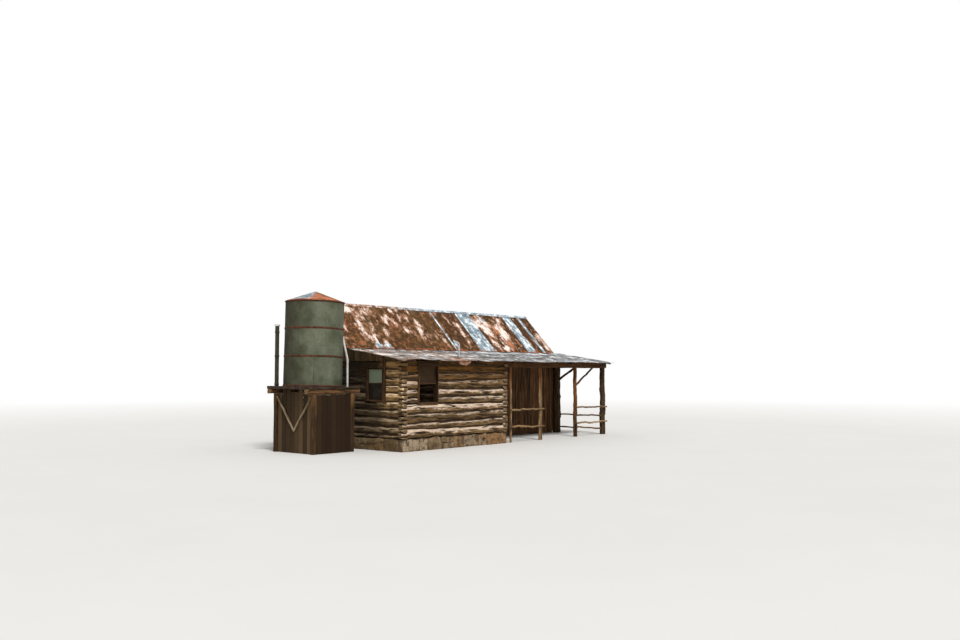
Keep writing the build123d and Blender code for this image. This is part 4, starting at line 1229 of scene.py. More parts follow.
def boardRow(name, matrix, span, length, shape, seed, finish, slot, replaced):
    # fills a span with whole boards; matrix puts the row's first corner, its run and its rise in place
    gap, thickness = shape["gap"], shape["thickness"]
    count = max(1, round((span + gap) / (shape["width"] + gap)))
    width = (span + gap) / count - gap
    values = {"Count": count, "Width": width, "Gap": gap, "Length": length, "Thickness": thickness,
              "Short": shape["short"], "Lean": shape["lean"], "Seed": seed, "Finish": finish}
    shift = Matrix.Translation((width / 2, thickness / 2, 0))
    growPiece(name, bpy.data.meshes.new(name), boards, values, slot, (replaced,), matrix @ shift)


def buildBoardWalls():
    low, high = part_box("porch_wall_boards")
    doorLow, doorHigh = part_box("porch_wall_over_door")
    for name, start, end, seed in (("porch_wall_boards_left", low.x, doorLow.x, 4),
                                   ("porch_wall_boards_right", doorHigh.x, high.x, 11)):
        corner = Matrix.Translation((start, low.y, low.z))
        boardRow(name, corner, end - start, high.z - low.z, porchBoards, seed, darkBoards, "boards",
                 "porch_wall_boards")
    width, height = doorHigh.x - doorLow.x, doorHigh.z - doorLow.z
    boardRow("boards_over_doorway", Matrix.Translation(doorLow), width, height, overDoorBoards, 8, darkBoards,
             "boards", "porch_wall_over_door")
    cornerBoard = newPile()
    addBlock(cornerBoard, (rightWallX - 0.03, low.y - 0.026, low.z),
             (rightX + 0.035, low.y - 0.002, sideLevels[-1] + 0.1), 0.4, 2, 0.004)
    makePiece("porch_corner_board", cornerBoard, [darkBoards])


def buildFloors():  # the boards lie flat and run along the house
    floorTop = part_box("floor_boards")[1].z
    sillLow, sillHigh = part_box("floor_sill")
    for name, right, front, back, seed in (("room_floor_boards", roomWallX, frontY + wall, sillLow.y, 3),
                                           ("main_floor_boards", rightWallX, sillHigh.y, backWallY, 6)):
        corner = Matrix.Translation((right, front, floorTop)) @ quarterTurn("Z") @ quarterTurn("X", -1)
        boardRow(name, corner, back - front, right - leftX - wall, floorBoards, seed, floorWood, "boards",
                 "floor_boards")


def buildGables():
    dice = random.Random(51)
    pile, leanTo = newPile(), newPile()
    boardLow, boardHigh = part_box("gable_boards")
    endLow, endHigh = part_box("lean_to_end_boards")
    gap, thickness = 0.003, 0.024

    def fill(target, x, startY, endY, bottom, under):  # upright boards, cut off along the roof's underside
        y = startY
        while y < endY - 0.01:
            width = min(dice.uniform(0.13, 0.19), endY - y)
            lowX = x + dice.uniform(0.0, 0.005)
            peak = max(under(y), under(y + width))
            low, high = (lowX, y + gap, bottom), (lowX + thickness, y + width - gap, peak)
            addBlock(target, low, high, dice.random(), 2, 0.0025, max(2, round((peak - bottom) / 0.2)),
                     lambda px, py, pz: (px, py, min(pz, under(py) - 0.004)))
            y += width

    for x in (boardLow.x, boardHigh.x - 0.03):
        fill(pile, x, boardLow.y, boardHigh.y, boardLow.z, steepUnder)
    fill(leanTo, endLow.x, endLow.y, endHigh.y, endLow.z, lowUnder)
    fill(leanTo, roomRightX - 0.06, endLow.y, junctionY - 0.05, endLow.z, lowUnder)
    makePiece("gable_boarding", pile, [greyBoards], ("gable_boards",), 30)
    makePiece("lean_to_end_boarding", leanTo, [greyBoards], ("lean_to_end_boards",), 30)


buildBoardWalls()
buildFloors()
buildGables()

# Rafters, plates and posts inside keep their modelled shape
frameTimber = {"dark": (66, 48, 36), "pale": (118, 92, 66), "stain": (80, 58, 42), "crack": (36, 26, 20)}
for nodeName, along in (("junction_beams", (0.8, 13, 13)), ("ridge_board", (0.8, 13, 13)),
                        ("floor_sill", (0.8, 13, 13)), ("junction_posts", (13, 13, 0.8)),
                        ("low_roof_rafters", (13, 0.8, 5)), ("steep_roof_rafters", (13, 1.2, 1.2))):
    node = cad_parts[nodeName]
    node.data.materials.clear()
    node.data.materials.append(timberFinish("timber_" + nodeName, {**frameTimber, "along": along}))
print("boards and timbers built")

# Windows: board frames, a raised sash at the front, and panes
windowLook = {"dark": (50, 33, 20), "pale": (96, 67, 38), "stain": (63, 42, 25), "crack": (30, 20, 12)}
# the linings are painted dark for the shade inside the window openings and under the eave
paintedShadeLiningLook = {"dark": (45, 30, 17), "pale": (72, 49, 28), "stain": (57, 38, 21), "crack": (30, 19, 10)}
windowWood, paintedShadeLiningWood = timberFinish("windowBoards", windowLook), timberFinish("windowLiningsPaintedShade", paintedShadeLiningLook)
# front and side give the width of the two jambs; a pane changes colour at the height of its split
windowShape = {"front": (0.06, 0.032), "side": (0.045, 0.09), "proud": 0.012, "bar": 0.042, "trim": 0.022,
               "sillOut": 0.012, "barLevels": (1.765, 1.80), "trimTop": 2.46, "overFront": 0.08}
# the front pane and the side pane's lower part are painted dark as the shade of the unlit room behind the
# glass
frontPane = {"top": (60, 44, 27), "bottom": (50, 36, 22), "split": 1.9, "roughness": 0.6}
sidePane = {"top": (130, 142, 118), "bottom": (36, 31, 24), "split": 1.79, "roughness": 0.5}


def glassFinish(name, look):
    rough, split = look["roughness"], look["split"]
    material, tree, shader = newFinish(name, rough, shine=0.08)
    place = objectPlace(tree)
    dirt = cloud(tree, place, 5.0, 6.0, 0.7)
    height = nudge(tree, partsOf(tree, place)[2], dirt, 0.12)
    tone = layered(tree, look["bottom"], look["top"], height, split - 0.03, split + 0.03)
    tone = layered(tree, tone, (130, 128, 112), dirt, 0.5, 0.75, 0.0, 0.16)
    tree.links.new(tone, shader.inputs["Base Color"])
    tree.links.new(spread(tree, dirt, 0.4, 0.7, rough, rough + 0.3), shader.inputs["Roughness"])
    raiseSurface(tree, shader, dirt, 0.1, 0.002)
    return material


def frameBoards(trim, lining, dice, axis, span, depth, rise, jambs, hole):
    # two jambs, a head and a sill round a hole, along x or y: weathered trim outside, and a lining within
    # whose dark colour is painted shade inside the opening
    def put(first, second, low, high, grainAxis, extra=0.0):
        face = depth[0] + windowShape["trim"]
        for pile, front, back in ((trim, depth[0] - extra, face), (lining, face, depth[1])):
            corners = alongAxis(axis, (first, front, low), (second, back, high))
            addBlock(pile, *corners, dice.random(), grainAxis, 0.002)
    near, far, along = span[0] + jambs[0], span[1] - jambs[1], 0 if axis == "x" else 1
    put(span[0], near, rise[0], rise[1], 2)
    put(far, span[1], rise[0], rise[1], 2)
    put(near, far, hole[1], rise[1], along)
    put(near - 0.004, far + 0.004, rise[0], hole[0], along, windowShape["sillOut"])


def buildWindows():
    dice = random.Random(61)
    frames, linings, sash = newPile(), newPile(), newPile()
    proud, bar, (sideNear, sideFar) = windowShape["proud"], windowShape["bar"], windowShape["side"]
    frontRise, frontHole = (frontLevels[4] + 0.03, wallTop), (frontLevels[4] + 0.085, wallTop - 0.03)
    sideRise, sideHole = (sideLevels[5], sideLevels[9]), (sideLevels[5] + 0.05, sideLevels[9] - 0.014)
    frameBoards(frames, linings, dice, "x", windowX, (frontY - proud, frontY + wall), frontRise,
                windowShape["front"], frontHole)
    frameBoards(frames, linings, dice, "y", sideWindowY, (leftX - proud, leftX + wall), sideRise,
                windowShape["side"], sideHole)
    # a dark board over the front window, up to the eave, that paints the shadow under the eave
    addBlock(linings, (windowX[0], frontY - 0.010, wallTop),
             (windowX[1], frontY - 0.001, wallTop + windowShape["overFront"]), dice.random(), 0, 0.002)
    # a bar across the side window, and a trim board beside it that runs up to the eave
    paneNear, paneFar = sideWindowY[0] + sideNear, sideWindowY[1] - sideFar
    barLow, barHigh = windowShape["barLevels"]
    addBlock(linings, (leftX + 0.02, paneNear, barLow), (leftX + 0.055, paneFar, barHigh), dice.random(), 1)
    addBlock(frames, (leftX - 0.026, frontY + 0.635, sideRise[0] - 0.05),
             (leftX - 0.004, frontY + 0.755, windowShape["trimTop"]), dice.random(), 2, 0.004)
    makePiece("window_board_frames", frames, [windowWood], ("window_frames",), 30)
    makePiece("window_linings_painted_shade", linings, [paintedShadeLiningWood], ("window_frames",), 30)
    # the raised sash takes the linings' dark colour of painted shade
    low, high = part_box("front_window_sash")
    left, right, bottom, top = low.x + bar, high.x - bar, low.z + bar, high.z - bar
    bars = ((low.x, low.z, left, high.z, 2), (right, low.z, high.x, high.z, 2),
            (left, low.z, right, bottom, 0), (left, top, right, high.z, 0))
    for startX, startZ, endX, endZ, grainAxis in bars:
        addBlock(sash, (startX, low.y, startZ), (endX, high.y, endZ), dice.random(), grainAxis, 0.001)
    makePiece("front_window_raised_sash", sash, [paintedShadeLiningWood], ("front_window_sash",), 30)
    for name, start, end, finish in (
            ("front_sash_pane", (left, low.y + 0.014, bottom), (right, low.y + 0.018, top),
             glassFinish("dustyFrontGlass", frontPane)),
            ("side_window_pane", (leftX + 0.03, paneNear, sideHole[0]), (leftX + 0.035, paneFar, sideHole[1]),
             glassFinish("tealSidePane", sidePane))):
        pane = newPile()
        addBlock(pane, start, end, 0.5, 2, 0.0012, 10)
        makePiece(name, pane, [finish], ("window_panes",), 30)


buildWindows()

# Porch: poles cut from saplings, a hewn header and crooked rails
poleLook = {"dark": (104, 80, 53), "pale": (164, 134, 97), "stain": (97, 73, 47), "crack": (54, 38, 25),
            "sunny": (147, 97, 56), "sunnyDark": (89, 57, 34), "sunnyFrom": 1.75}
middleLook = {"dark": (60, 41, 25), "pale": (108, 73, 43), "stain": (70, 47, 28), "crack": (30, 20, 12),
              "sunny": (139, 88, 46), "sunnyDark": (87, 55, 30), "sunnyFrom": 1.0}
barkLook = {"dark": (44, 31, 20), "pale": (84, 63, 41), "stain": (56, 41, 26), "crack": (24, 16, 10),
            "relief": 1.0}
headerLook = {"dark": (51, 31, 16), "pale": (92, 58, 28), "stain": (61, 37, 19), "crack": (28, 18, 9)}
poleWood, barkWood = timberFinish("saplingPoles", poleLook), timberFinish("barkedTrunk", barkLook)
headerWood = timberFinish("porchHeaderWood", headerLook)
middleWood = timberFinish("brownPoleWood", middleLook)
# thin and pair are places right of the room, middle and end are places left of the roof's end
porchShape = {"headerBottom": lowLow.z - 0.165, "line": frontY + 0.025, "thin": 0.25, "pair": 1.678,
              "middle": 1.77, "end": 0.105, "trunkGap": 0.135, "trunkIn": 0.08, "roofLength": 9.75,
              "middleIn": 0.062, "endIn": 0.095}
porchRadii = {"thin": 0.033, "pair": 0.035, "middle": 0.064, "end": 0.096, "trunk": 0.141, "rail": 0.029,
              "endRail": 0.027, "brace": 0.032, "endBrace": 0.040}


def buildPorch():
    dice = random.Random(71)
    top, line = porchShape["headerBottom"], porchShape["line"]
    poles, middlePole, trunk = newPile(), newPile(), newPile()
    thinX, pairX = roomRightX + porchShape["thin"], roomRightX + porchShape["pair"]
    roofEnd = leftX + porchShape["roofLength"]
    middleX, endX = roofEnd - porchShape["middle"], roofEnd - porchShape["end"]
    cornerX, cornerY = rightX + porchShape["trunkGap"], junctionY - porchShape["trunkIn"]

    def upright(pile, x, y, height, radius, bend, taper, knots, **options):
        crookedPole(pile, (x, y, 0), (x, y, height), radius, dice, bend, taper, knots, **options)

    for x, kind in ((thinX, "thin"), (pairX, "pair"), (pairX + 0.075, "pair")):
        radius = porchRadii[kind]
        upright(poles, x, line + radius, top + 0.01, radius * 1.05, 0.010, 0.9, 4)
    makePiece("porch_poles", poles, [poleWood, logEnds], ("porch_posts",), 50)
    middleY, endY = line + porchShape["middleIn"], line + porchShape["endIn"]
    upright(middlePole, middleX, middleY, top + 0.01, porchRadii["middle"], 0.010, 0.92, 4)
    makePiece("porch_middle_post", middlePole, [middleWood, logEnds], ("porch_posts",), 50)
    upright(trunk, endX, endY, top + 0.01, porchRadii["end"], 0.010, 0.9, 3, around=16, rough=0.008)
    upright(trunk, cornerX, cornerY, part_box("porch_posts")[1].z, porchRadii["trunk"], 0.008, 0.95, 4,
            around=24, rough=0.012)
    makePiece("porch_trunk_posts", trunk, [barkWood, logEnds], ("porch_posts",), 50)

    rails = newPile()
    radius = porchRadii["rail"]
    y = line - radius
    spans = ((thinX - 0.06, pairX + 0.15, 0.965, 0.965), (thinX - 0.05, pairX + 0.16, 0.47, 0.43),
             (middleX - 0.08, endX + 0.08, 0.955, 0.93), (middleX - 0.07, endX + 0.08, 0.44, 0.44))
    for start, end, low, high in spans:
        crookedPole(rails, (start, y, low), (end, y, high), radius, dice, 0.018, 0.8, 4)
    for height in (0.63, 0.20):
        start, end = (endX - 0.122, endY, height), (cornerX + 0.168, cornerY, height)
        crookedPole(rails, start, end, porchRadii["endRail"], dice, 0.012, 0.9, 3)
    makePiece("porch_rail_poles", rails, [poleWood, logEnds], ("porch_rails",), 50)

    beams = newPile()
    for axis, nodeName in ((0, "porch_header"), (1, "porch_end_tie")):
        low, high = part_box(nodeName)
        drift, stations = wander(dice, 0.007), []
        count = round((high[axis] - low[axis]) / 0.1)
        middle, half = (low + high) / 2, (high - low) / 2
        side = Vector((0, half.y, 0)) if axis == 0 else Vector((half.x, 0, 0))
        for step in range(count + 1):
            place = low[axis] + (high[axis] - low[axis]) * step / count
            centre = Vector(middle)
            centre[axis] = place
            stations.append((centre + Vector((0, 0, drift(place))), side, Vector((0, 0, half.z)), place))
        addLoft(beams, stations, dice.random(), 16, 4.5, 0.006, 1)
    makePiece("porch_header_and_tie", beams, [headerWood, logEnds],
              ("porch_header", "porch_end_tie"), 50)

    braces = newPile()
    crookedPole(braces, (middleX + 0.05, middleY, top - 0.56), (middleX + 1.06, middleY, top + 0.03),
                porchRadii["brace"], dice, 0.012, 0.9, 2)
    crookedPole(braces, (cornerX, cornerY - 0.12, top - 0.40), (cornerX, cornerY - 0.80, top + 0.03),
                porchRadii["endBrace"], dice, 0.01, 0.9, 2)
    makePiece("porch_brace_poles", braces, [headerWood, logEnds], ("porch_knee_braces",), 50)


buildPorch()
print("windows and porch built")

# Water tank: three courses of sheet, rolled rusty seams, rivets and a coned lid, all leaning a little
tankShape = {"radius": 0.775, "height": 2.25, "lean": 1.4, "around": 120, "rows": 14, "dent": 0.006,
             "courses": (0.0, 0.345, 0.672, 1.0), "laps": (-128.0, 64.0, 150.0), "lapLift": 0.0035,
             "rivetGap": 0.06, "rivetStep": 0.075, "rivetRadius": 0.0065, "rivetHeight": 0.005}
seamShape = {"bead": 0.021, "around": 96, "sides": 8, "uneven": 0.25, "low": 0.013, "top": 0.02,
             "rivets": 0.024}
lidShape = {"reach": 0.80, "rise": 0.28, "folds": 12, "foldHigh": 0.007, "rows": 12, "dip": 0.006}
tankX, tankY = leftX - 1.31, frontY + 2.065
# the tank's darkest brown is painted shade on its back left side
tankLook = {"dark": (76, 80, 62), "pale": (106, 110, 92), "run": (80, 80, 58), "speck": (44, 46, 34),
            "paintedShadeSide": (42, 38, 22), "middle": (tankX, tankY), "scale": 2.4, "speckScale": 26.0,
            "speckShare": 0.8, "roughness": 0.7, "runShare": 0.4, "relief": 0.1}
seamLook = {"dark": (54, 36, 28), "pale": (98, 60, 42), "run": (96, 58, 40), "speck": (48, 32, 26),
            "scale": 9.0, "roughness": 0.85, "relief": 0.5}
lidLook = {"rust": (194, 116, 76), "rustDark": (82, 54, 38), "zinc": (104, 116, 122),
           "zincPale": (200, 206, 210)}
tankLean = math.radians(tankShape["lean"])
tankAt = Vector((tankX, tankY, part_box("tank_bottom")[0].z + tankShape["radius"] * math.sin(tankLean)))
tankPlace = Matrix.Translation(tankAt) @ Matrix.Rotation(tankLean, 4, "Y")


def ringPoint(radius, angle, height=0.0):
    return Vector((radius * math.cos(angle), radius * math.sin(angle), height))


def lidFinish():
    material, tree, shader = newFinish("tankLidIron", 0.65)
    place = objectPlace(tree)
    soft = cloud(tree, place, 3.2, 6.0, 0.65)
    # rust on the front right, grey coating at the back left, rust all round the edge
    aside = nudge(tree, towardsFrontRight(tree, place, (tankAt.x, tankAt.y)), soft, 0.7)
    height = minus(tree, partsOf(tree, place)[2], tankAt.z + tankShape["height"])
    edge = spread(tree, nudge(tree, height, soft, 0.12), 0.075, 0.03)
    rust = layered(tree, lidLook["rustDark"], lidLook["rust"], soft, 0.4, 0.6)
    zinc = layered(tree, lidLook["zinc"], lidLook["zincPale"], soft, 0.42, 0.58)
    tone = layered(tree, zinc, rust, aside, 0.0, 0.1)
    tree.links.new(blendPaint(tree, edge, tone, rust), shader.inputs["Base Color"])
    raiseSurface(tree, shader, soft, 0.2, 0.006)
    return material


def tankSheets(finish, radius, height):
    # three courses of sheet with a lap and a row of rivets up each; gives back the rivets' places
    points, faces, rivets = [], [], []
    courses, around, rows = tankShape["courses"], tankShape["around"], tankShape["rows"]
    for index, (low, high) in enumerate(zip(courses[:-1], courses[1:])):
        first = len(points)
        lap = math.radians(tankShape["laps"][index])
        for column in range(around):
            angle = math.tau * column / around
            off = math.degrees((angle - lap + math.pi) % math.tau - math.pi)
            lift = tankShape["lapLift"] if -1.2 < off < 1.6 else 0.0
            for row in range(rows):
                level = height * (low + (high - low) * row / (rows - 1))
                where = Vector((math.cos(angle) * 1.9, math.sin(angle) * 1.9, level * 1.6 + 4))
                dent = noise.noise(where) * tankShape["dent"]
                out = radius - 0.003 + dent + lift + (0.0015 if index % 2 else 0)
                points.append((out * math.cos(angle), out * math.sin(angle), level))
        faces += gridFaces(around, rows, True, first)
        outward = ringPoint(1.0, lap)
        for step in range(int(height * (high - low) / tankShape["rivetGap"]) - 1):
            level = height * low + 0.05 + tankShape["rivetGap"] * step
            rivets.append((outward * (radius + 0.003) + Vector((0, 0, level)), outward))
    plainSheet("tank_sheets", points, faces, finish, "tank_iron", ("tank_shell",), 0.002, matrix=tankPlace)
    return rivets


def addBead(pile, radius, level, seed):
    # rolled seam: a low uneven bead that runs round the tank and closes on itself
    bead, ring, sides = seamShape["bead"], seamShape["around"], seamShape["sides"]
    points, faces = [], []
    for column in range(ring):
        angle = math.tau * column / ring
        where = Vector((math.cos(angle) * 4, math.sin(angle) * 4, seed * 30))
        uneven = 1 + seamShape["uneven"] * noise.noise(where)
        for side in range(sides):
            turn = math.tau * side / sides
            out = radius + bead * 0.45 * math.cos(turn) * uneven
            rise = level + bead * 1.25 * math.sin(turn) * uneven + 0.002 * math.sin(angle * 5 + seed * 9)
            points.append(tankPlace @ ringPoint(out, angle, rise))
            near, far, up = column * sides, (column + 1) % ring * sides, (side + 1) % sides
            faces.append((near + side, far + side, far + up, near + up))
    addSolid(pile, points, faces, seed, [tuple(point) for point in points], [0.0] * len(points))


def tankLid(height):
    points, rows, columns = [], lidShape["rows"], lidShape["folds"] * 10
    for column in range(columns):
        angle = math.tau * column / columns
        fold = math.exp(-((((column % 10) - 5) / 0.9) ** 2))
        for row in range(rows):
            share = row / (rows - 1)
            out = lidShape["reach"] * (1 - share) + 0.012 * share
            dip = lidShape["dip"] * noise.noise(Vector((math.cos(angle) * 3, math.sin(angle) * 3, share * 4)))
            rise = height - 0.008 + (lidShape["rise"] + 0.009) * share
            rise += lidShape["foldHigh"] * fold * (1 - share * 0.6) + dip * (1 - share)
            points.append((out * math.cos(angle), out * math.sin(angle), rise))
    faces = gridFaces(columns, rows, True)
    faces.append(tuple(column * rows + rows - 1 for column in range(columns)))
    plainSheet("tank_coned_lid", points, faces, lidFinish(), "tank_iron", ("tank_roof",), 0.002,
               matrix=tankPlace, sharpAngle=25)


def buildTank():
    sheetGreen = mottledFinish("sageTankSheet", tankLook)
    seamRust = mottledFinish("rustedTankSeams", seamLook)
    radius, height, courses = tankShape["radius"] - 0.002, tankShape["height"], tankShape["courses"]
    rivets = tankSheets(sheetGreen, radius, height)
    pile, dice = newPile(), random.Random(81)
    count = round(math.tau * radius / tankShape["rivetStep"])
    levels = [height * course + seamShape["low"] for course in courses[:-1]]
    for level in levels + [height - seamShape["top"]]:
        addBead(pile, radius, level, dice.random())
        row = level + (seamShape["rivets"] if level < height - 0.1 else -seamShape["rivets"])
        for step in range(count):
            outward = ringPoint(1.0, math.tau * step / count)
            rivets.append((outward * (radius + 0.001) + Vector((0, 0, row)), outward))
    for lap, low, high in zip(tankShape["laps"], courses[:-1], courses[1:]):
        outward = ringPoint(1.0, math.radians(lap)) * (radius - 0.001)
        levels = (low + 0.012, high - 0.004)
        ends = [tankPlace @ (outward + Vector((0, 0, height * level))) for level in levels]
        addPole(pile, ends, [0.006, 0.006], lap, 8, 0.001, spacing=0.1)
    makePiece("tank_rolled_seams", pile, [seamRust], ("tank_bands",), 60)
    scatterHeads("tank_rivets", rivets, tankShape["rivetRadius"], tankShape["rivetHeight"], sheetGreen,
                 "tank_iron", tankPlace)
    tankLid(height)
    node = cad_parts["tank_bottom"]
    node.data.materials.clear()
    node.data.materials.append(seamRust)


buildTank()
print("tank built")

# The tank's stand
# the stand's orange top colour is painted sunlight on the tops of its legs and beams
standLook = {"dark": (45, 32, 20), "pale": (83, 61, 37), "stain": (58, 41, 25), "crack": (25, 16, 10),
             "sunny": (150, 108, 66), "sunnyDark": (84, 62, 42), "sunnyFrom": 1.50}
deckLook = {"dark": (40, 31, 25), "pale": (72, 56, 45), "stain": (96, 82, 70), "crack": (24, 17, 13)}
paleLegLook = {"dark": (120, 102, 78), "pale": (176, 156, 126), "stain": (110, 90, 66), "crack": (54, 42, 30)}
# the front boards are a darker copy of the side boards: painted shade on the stand's front face
shadedFrontBoardLook = {"dark": (30, 20, 12), "pale": (56, 39, 23), "stain": (40, 27, 16), "crack": (20, 14, 9)}
sideBoardLook = {"dark": (62, 47, 30), "pale": (112, 90, 62), "stain": (76, 60, 40), "crack": (28, 20, 13),
                 "dimmest": 0.25}
standWood, deckWood = timberFinish("standTimber", standLook), timberFinish("deckBoardWood", deckLook)
shadedFrontBoards = timberFinish("standFrontBoardsPaintedShade", shadedFrontBoardLook)
sideBoards = timberFinish("standSideBoards", sideBoardLook)
legWood = timberFinish("paleBraceWood", paleLegLook)
standShape = {"half": 0.07, "steps": 20, "deckTop": 1.71, "deckBoards": (0.15, 0.22), "braceRadius": 0.028}
sideRow = {"width": 0.17, "gap": 0.004, "thickness": 0.024, "lean": 0.006, "short": 0.07}
frontRow = {"width": 0.16, "gap": 0.006, "thickness": 0.024, "lean": 0.01, "short": 0.04}


def buildStand():
    dice = random.Random(91)
    half, steps, top = standShape["half"], standShape["steps"], standShape["deckTop"]
    slope = math.tan(tankLean)
    deckLow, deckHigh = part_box("stand_deck")
    beamLow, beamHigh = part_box("stand_beams")
    postLow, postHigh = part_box("stand_posts")
    boardLow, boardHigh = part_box("stand_boards")
    braceLow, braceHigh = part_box("stand_braces")
    deck, beams, legs, braces = newPile(), newPile(), newPile(), newPile()
    y = deckLow.y
    while y < deckHigh.y - 0.02:
        width = min(dice.uniform(*standShape["deckBoards"]), deckHigh.y - y)
        start, end = deckLow.x - dice.uniform(-0.03, 0.05), deckHigh.x + dice.uniform(-0.03, 0.02)
        low, high = (start, y + 0.003, deckLow.z), (end, y + width - 0.003, deckHigh.z)
        addBlock(deck, low, high, dice.random(), 0, 0.004, 10,
                 lambda px, py, pz: (px, py, min(pz, top - (px - tankAt.x) * slope + 0.001)))
        y += width
    makePiece("stand_deck_boards", deck, [deckWood], ("stand_deck",), 30)

    middleZ, halfTall = (beamLow.z + beamHigh.z) / 2, (beamHigh.z - beamLow.z) / 2
    for startY in (beamLow.y, beamHigh.y - 2 * half):
        stations = []
        for step in range(steps + 1):
            x = beamLow.x + (beamHigh.x - beamLow.x) * step / steps
            middle = Vector((x, startY + half, middleZ))
            stations.append((middle, Vector((0, half, 0)), Vector((0, 0, halfTall)), x))
        addLoft(beams, stations, dice.random(), 16, 4.0, 0.006, 1)
    makePiece("stand_cap_beams", beams, [standWood, logEnds], ("stand_beams",), 50)
    for x in (postLow.x + half, postHigh.x - half):
        for y in (postLow.y + half, postHigh.y - half):
            heights = [postHigh.z * step / steps for step in range(steps + 1)]
            stations = [(Vector((x, y, z)), Vector((half, 0, 0)), Vector((0, half, 0)), z) for z in heights]
            addLoft(legs, stations, dice.random(), 16, 3.0, 0.010, 1)
    makePiece("stand_legs", legs, [standWood, logEnds], ("stand_posts",), 50)

    # the side boards run up between the cap beams, some of them to the deck
    sideCorner = Matrix.Translation((boardLow.x + 0.025, postLow.y + 2 * half, 0)) @ quarterTurn("Z")
    boardRow("stand_side_boards", sideCorner, postHigh.y - postLow.y - 4 * half, deckLow.z - 0.01, sideRow, 5,
             sideBoards, "dark_timber", "stand_boards")
    frontCorner = Matrix.Translation((postLow.x + 2 * half, postLow.y + 0.02, 0))
    boardRow("stand_front_boards", frontCorner, postHigh.x - postLow.x - 4 * half, boardHigh.z, frontRow, 13,
             shadedFrontBoards, "dark_timber", "stand_boards")
    x, middleY = braceLow.x + 0.02, (braceLow.y + braceHigh.y) / 2
    for y in (braceHigh.y, braceLow.y):
        start, end = (x, y, braceHigh.z - 0.05), (x, middleY, braceLow.z + 0.05)
        crookedPole(braces, start, end, standShape["braceRadius"], dice, 0.008, 0.95, 2)
    makePiece("stand_brace_poles", braces, [legWood, logEnds], ("stand_braces",), 50)


buildStand()

# Pipes
flueLook = {"dark": (150, 150, 150), "pale": (206, 204, 202), "run": (150, 112, 90), "speck": (92, 72, 60),
            "scale": 6.0, "roughness": 0.5, "metallic": 0.2}
greenPipeLook = {"dark": (48, 46, 30), "pale": (68, 66, 46), "run": (52, 48, 32), "speck": (36, 34, 24),
                 "scale": 5.0}
whitePipeLook = {"dark": (196, 194, 190), "pale": (232, 230, 226), "run": (180, 172, 160),
                 "speck": (140, 130, 118), "scale": 5.0, "roughness": 0.45}
# the flue's two collars: how far from the roof and from the bend, radius, length
flueShape = {"radius": 0.031, "tall": 0.40, "bend": 0.05, "seat": (0.045, 0.045, 0.05),
             "joint": (0.07, 0.035, 0.04)}
standpipeShape = {"radius": 0.054, "collar": 0.060, "collarLong": 0.07, "collars": (0.03, 0.5, 0.9),
                  "cap": 0.072}
downpipeShape = {"radius": 0.0295, "angle": -19, "start": 0.6, "drop": 0.63, "aside": 0.08, "bend": 0.07,
                 "collar": 0.036, "collarLong": 0.06}


def pipeRun(pile, centres, radius, seed):
    addPole(pile, centres, [radius] * len(centres), seed, 20, 0.0008, spacing=0.12)


def collar(pile, centre, axis, radius, length, seed):
    centre, axis = Vector(centre), Vector(axis).normalized()
    steps = [(-0.5, 0.9), (-0.42, 1.0), (0.42, 1.0), (0.5, 0.9)]
    centres = [centre + axis * length * place for place, size in steps]
    addPole(pile, centres, [radius * size for place, size in steps], seed, 20, 0.0, spacing=1)


def bendPoints(corner, before, after, reach, count=6):
    corner, before, after = Vector(corner), Vector(before), Vector(after)
    start, end = (corner + (way - corner).normalized() * reach for way in (before, after))
    shares = [step / count for step in range(count + 1)]
    return [start.lerp(corner, share).lerp(corner.lerp(end, share), share) for share in shares]


def buildFlue():
    low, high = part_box("vent_pipe")
    x, y, upright = high.x - 0.032, (low.y + high.y) / 2, (0, 0, 1)
    top = lowUnder(y) + flueShape["tall"]
    flue = newPile()
    elbow = bendPoints((x, y, top), (x, y, top - 1), (x - 0.09, y, top + 0.055), flueShape["bend"])
    pipeRun(flue, [(x, y, low.z), *elbow, (x - 0.088, y, top + 0.054)], flueShape["radius"], 0.3)
    up, radius, long = flueShape["seat"]
    collar(flue, (x, y, lowUnder(y) + up), upright, radius, long, 0.4)
    down, radius, long = flueShape["joint"]
    collar(flue, (x, y, top - down), upright, radius, long, 0.6)
    makePiece("roof_flue", flue, [mottledFinish("flueIron", flueLook)], ("vent_pipe",), 50)


def buildStandpipe(whitePlastic):
    low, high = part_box("standing_pipe")
    capLow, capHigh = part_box("pipe_cap")
    x, y, upright = (low.x + high.x) / 2, (low.y + high.y) / 2, (0, 0, 1)
    pipe, cap, shape = newPile(), newPile(), standpipeShape
    pipeRun(pipe, [(x, y, low.z), (x, y, high.z)], shape["radius"], 0.2)
    for share in shape["collars"]:
        z = low.z + (high.z - low.z) * share
        collar(pipe, (x, y, z), upright, shape["collar"], shape["collarLong"], share)
    greenPipe = mottledFinish("greenPipe", greenPipeLook)
    makePiece("overflow_standpipe", pipe, [greenPipe], ("standing_pipe",), 50)
    collar(cap, (x, y, (capLow.z + capHigh.z) / 2), upright, shape["cap"], capHigh.z - capLow.z, 0.5)
    makePiece("standpipe_cap", cap, [whitePlastic], ("pipe_cap",), 50)


